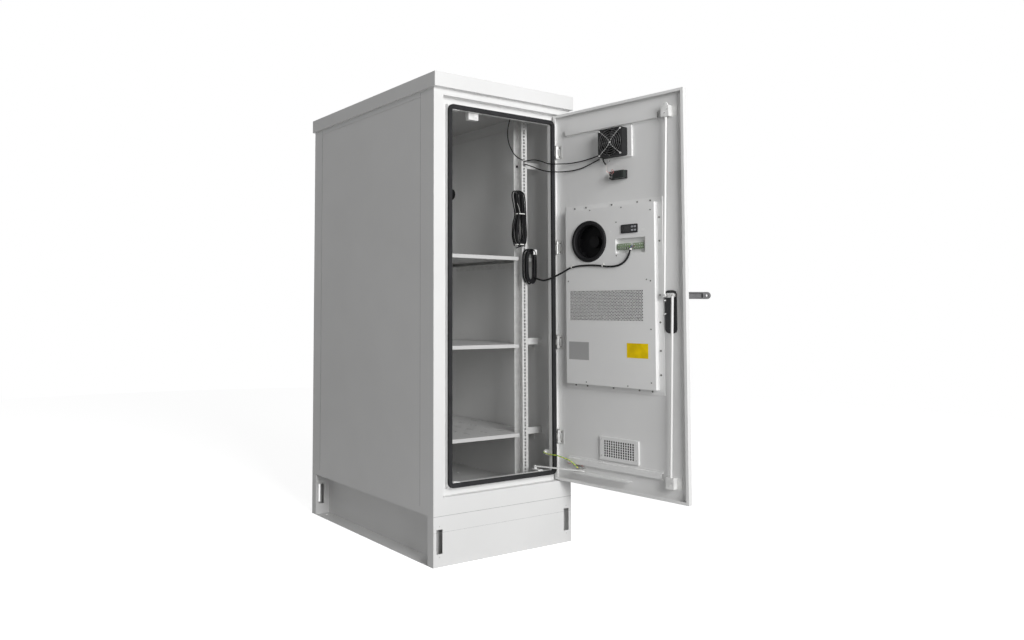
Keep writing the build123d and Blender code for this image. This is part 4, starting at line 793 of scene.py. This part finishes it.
def cabinet_fixings():
    """Screws, grey strips that are painted shade for the shadow lines at the joints of plinth and side
    panels, the port in the lining and the clip on the rail.
    """
    fixings("plinth_screws", [inside(x, -525, z) for x in (-345, 345) for z in (160, 40)], "cabinet",
            FRONTWARD, 3.4, 1.0, finish=pale_screw)
    fixings("floor_screws", [inside(x, y, 221.5) for x in (-190, 190) for y in (-380, 60, 420)], "cabinet",
            UPWARD, 5.0, 3.0)
    # Grey strips on the flush plinth faces, at its joint with the body and at its fold, are painted shade for
    # the shadow lines there.
    seam = [(inside(-375.0, -525.25, 198.6), inside(375.0, -524.9, 200.2)),
            (inside(-374.0, -525.12, 135.4), inside(374.0, -524.95, 136.2))]
    tiles("plinth_joint_shadow_line", seam, seam_shadow_grey, "cabinet")
    # Grey strips on the side panels are painted shade for the shadow lines of their joints.
    sides = []
    for side in (-1, 1):
        for y in (-430.0, 446.0):
            low, high = sorted((side * 374.9, side * 375.2))
            sides.append((inside(low, y - 0.8, 225), inside(high, y + 0.8, 1925)))
    tiles("side_panel_joint_shadows", sides, seam_shadow_grey, "cabinet")
    bm = bmesh.new()
    disc(bm, inside(344.6, 317, 1642), 27.0 * MM, 0.8 * MM, "X", 36)
    ring(bm, inside(344.2, 317, 1642), ACROSS, 28.0, 2.4, 1.6, sides=4, steps=36)
    piece_from(bm, "cable_port", port_dark, "cabinet")
    bm = bmesh.new()
    ring(bm, inside(184, -393, 1675), UPWARD, 4.4, 1.6, 9.0, sides=4, steps=24)
    piece_from(bm, "rail_clip", cable_black, "cabinet")


def earth_fittings():
    """Nuts and washers where the earth wires end on the door, and two short leads beside them."""
    bm = bmesh.new()
    for x, z in ((209.0, 341.0), (196.0, 352.0), (180.0, 347.0)):
        disc(bm, shut(x, 5.6, z), 5.2 * MM, 4.4 * MM, segments=6)
        disc(bm, shut(x, 3.2, z), 6.6 * MM, 1.2 * MM, segments=24)
    piece_from(bm, "earth_nuts", screw_zinc, "door", door=True)
    door_lead("bond_brown", core_brown, 0.0026, [(262, 6, 366), (250, 9, 372), (236, 12, 362), (222, 10, 350),
                                                 (208, 8, 352), (197, 7, 353)])
    door_lead("bond_pink", lead_pink, 0.0026, [(268, 6, 356), (254, 10, 352), (240, 13, 358), (222, 11, 366),
                                               (200, 9, 362), (181, 7, 349)])


# Hanks


def wound(wide, narrow, shares, layers, tilt):
    """A hank's turns: each turn's outline lies between the wide and the narrow one, on its own layer."""
    points = []
    for turn, (share, layer) in enumerate(zip(shares, layers)):
        step = (layers[1] - layers[0]) / len(wide)
        for index, ((wide_x, wide_z), (narrow_x, narrow_z)) in enumerate(zip(wide, narrow)):
            wave = tilt * math.sin(1.9 * turn + 0.8 * index)
            points.append(inside(wide_x + (narrow_x - wide_x) * share + wave, layer + step * index,
                                 wide_z + (narrow_z - wide_z) * share + 0.8 * wave))
    return points


def strap(bm, x, y, z, half_x, half_y, thick=1.1, wide=4.0):
    """A flat tie drawn round a bundle, longer across than deep."""
    centre = inside(x, y, z)
    made = len(bm.verts)
    ring(bm, centre, UPWARD, half_x, thick, wide, sides=4, steps=32)
    bm.verts.ensure_lookup_table()
    bmesh.ops.scale(bm, vec=(1.0, half_y / half_x, 1.0), verts=bm.verts[made:],
                    space=Matrix.Translation(-centre))


LONG_HANK_WIDE = [
    (168, 1313), (153, 1345), (152, 1378), (158, 1420), (173, 1455), (162, 1505), (153, 1545), (163, 1564),
    (185, 1561), (204, 1548), (210, 1515), (214, 1455), (217, 1420), (224, 1368), (217, 1322), (196, 1308)]
LONG_HANK_NARROW = [
    (182, 1332), (179, 1350), (179, 1378), (180, 1420), (185, 1455), (181, 1500), (175, 1532), (180, 1547),
    (189, 1549), (197, 1536), (197, 1510), (202, 1455), (199, 1420), (199, 1370), (199, 1338), (191, 1328)]
SHORT_HANK_WIDE = [
    (232, 1149), (218, 1168), (216, 1200), (216, 1240), (218, 1275), (228, 1296), (246, 1301), (264, 1294),
    (274, 1272), (276, 1238), (275, 1200), (272, 1166), (262, 1148), (247, 1141)]
SHORT_HANK_NARROW = [
    (243, 1166), (239, 1178), (237, 1205), (237, 1238), (239, 1262), (243, 1276), (251, 1281), (259, 1276),
    (262, 1262), (263, 1235), (263, 1204), (262, 1178), (259, 1166), (251, 1160)]


def cable_hanks():
    """Both hanks with their ties and tags."""
    bm = bmesh.new()
    strap(bm, 193, -404, 1457, 27.0, 17.5)
    wire(bm, [inside(177, -421, 1459), inside(170, -424, 1474), inside(166, -423, 1490),
              inside(160, -421, 1502)], 0.0016)
    strap(bm, 192, -404, 1318, 29.0, 17.0)
    wire(bm, [inside(214, -417, 1319), inside(219, -420, 1316), inside(226, -421, 1304)], 0.0016)
    ties = piece_from(bm, "hank_ties", tie_white, "cabinet")
    points = wound(LONG_HANK_WIDE, LONG_HANK_NARROW,
                   (0.0, 0.7, 0.25, 0.95, 0.5, 0.1, 0.8, 0.35, 1.0, 0.6, 0.18),
                   [-392.0 - 2.5 * turn for turn in range(11)], 2.2)
    points += [inside(178, -419, 1313), inside(166, -420, 1304), inside(155, -419, 1301)]
    free_cord("cable_hank_long", points, 0.0055, cable_black, "cabinet",
              ("cable_hank_upper",))
    tag = tiles("hank_tag", [(inside(256, -421.2, 1275), inside(277, -420.4, 1298))], sticker_white,
                "cabinet")
    points = wound(SHORT_HANK_WIDE, SHORT_HANK_NARROW, (0.0, 0.45, 0.9, 0.2, 0.66, 0.1),
                   [-393.0 - 4.7 * turn for turn in range(6)], 1.0)
    free_cord("cable_hank_short", points, 0.007, cable_black, "cabinet",
              ("cable_hank_lower",))


outlet_grille()
cooler_screws()
cooler_fittings()
terminal_details()
fan_finger_guard()
thermostat_switch()
door_wiring()
latch_details()
hinge_screws()
vent_details()
louvre_hoods()
cabinet_fixings()
earth_fittings()
cable_hanks()

# Floor, world and light


def lay_floor():
    bm = bmesh.new()
    bmesh.ops.create_circle(bm, cap_ends=True, segments=64, radius=7.0)
    mesh = bpy.data.meshes.new("studio_floor")
    bm.to_mesh(mesh)
    bm.free()
    floor = bpy.data.objects.new("studio_floor", mesh)
    bpy.context.collection.objects.link(floor)
    finish = bpy.data.materials.new("pale_floor")
    finish.use_nodes = True
    tree = finish.node_tree
    tree.nodes.clear()
    out = tree.nodes.new("ShaderNodeOutputMaterial")
    matt = tree.nodes.new("ShaderNodeBsdfDiffuse")
    matt.inputs["Color"].default_value = (0.85, 0.85, 0.85, 1.0)
    bounce = tree.nodes.new("ShaderNodeBsdfDiffuse")
    bounce.inputs["Color"].default_value = (0.45, 0.45, 0.45, 1.0)
    lift = tree.nodes.new("ShaderNodeEmission")
    lift.inputs["Strength"].default_value = 0.8
    lifted = tree.nodes.new("ShaderNodeAddShader")
    ray = tree.nodes.new("ShaderNodeLightPath")
    seen = tree.nodes.new("ShaderNodeMath")
    seen.operation = "ADD"
    seen_all = tree.nodes.new("ShaderNodeMath")
    seen_all.operation = "ADD"
    seen_all.use_clamp = True
    mix = tree.nodes.new("ShaderNodeMixShader")
    tree.links.new(ray.outputs["Is Camera Ray"], seen.inputs[0])
    tree.links.new(ray.outputs["Is Glossy Ray"], seen.inputs[1])
    tree.links.new(seen.outputs[0], seen_all.inputs[0])
    tree.links.new(ray.outputs["Is Transmission Ray"], seen_all.inputs[1])
    tree.links.new(matt.outputs[0], lifted.inputs[0])
    tree.links.new(lift.outputs[0], lifted.inputs[1])
    tree.links.new(seen_all.outputs[0], mix.inputs["Fac"])
    tree.links.new(bounce.outputs[0], mix.inputs[1])
    tree.links.new(lifted.outputs[0], mix.inputs[2])
    tree.links.new(mix.outputs[0], out.inputs["Surface"])
    mesh.materials.append(finish)


def light_room():
    world = bpy.data.worlds.new("studio")
    world.use_nodes = True
    bpy.context.scene.world = world
    tree = world.node_tree
    tree.nodes.clear()
    out = tree.nodes.new("ShaderNodeOutputWorld")
    fill = tree.nodes.new("ShaderNodeBackground")
    fill.inputs["Strength"].default_value = 0.2
    white = tree.nodes.new("ShaderNodeBackground")
    white.inputs["Strength"].default_value = 1.0
    for background in (fill, white):
        background.inputs["Color"].default_value = (1.0, 1.0, 1.0, 1.0)
    ray = tree.nodes.new("ShaderNodeLightPath")
    seen = tree.nodes.new("ShaderNodeMath")
    seen.operation = "ADD"
    seen_all = tree.nodes.new("ShaderNodeMath")
    seen_all.operation = "ADD"
    seen_all.use_clamp = True
    mix = tree.nodes.new("ShaderNodeMixShader")
    tree.links.new(ray.outputs["Is Camera Ray"], seen.inputs[0])
    tree.links.new(ray.outputs["Is Glossy Ray"], seen.inputs[1])
    tree.links.new(seen.outputs[0], seen_all.inputs[0])
    tree.links.new(ray.outputs["Is Transmission Ray"], seen_all.inputs[1])
    tree.links.new(seen_all.outputs[0], mix.inputs["Fac"])
    tree.links.new(fill.outputs[0], mix.inputs[1])
    tree.links.new(white.outputs[0], mix.inputs[2])
    tree.links.new(mix.outputs[0], out.inputs["Surface"])
    soft_box("key_box", (-0.7, -5.2, 2.45), (0.05, -0.5, 1.0), 2.4, 212.0)


def soft_box(name, place, aim, size, power):
    lamp = bpy.data.lights.new(name, "AREA")
    lamp.shape = "SQUARE"
    lamp.size = size
    lamp.energy = power
    box = bpy.data.objects.new(name, lamp)
    bpy.context.collection.objects.link(box)
    away = Vector(aim) - Vector(place)
    box.matrix_world = Matrix.Translation(place) @ away.to_track_quat("-Z", "Y").to_matrix().to_4x4()


lay_floor()
light_room()
bpy.context.scene.view_settings.view_transform = "Standard"
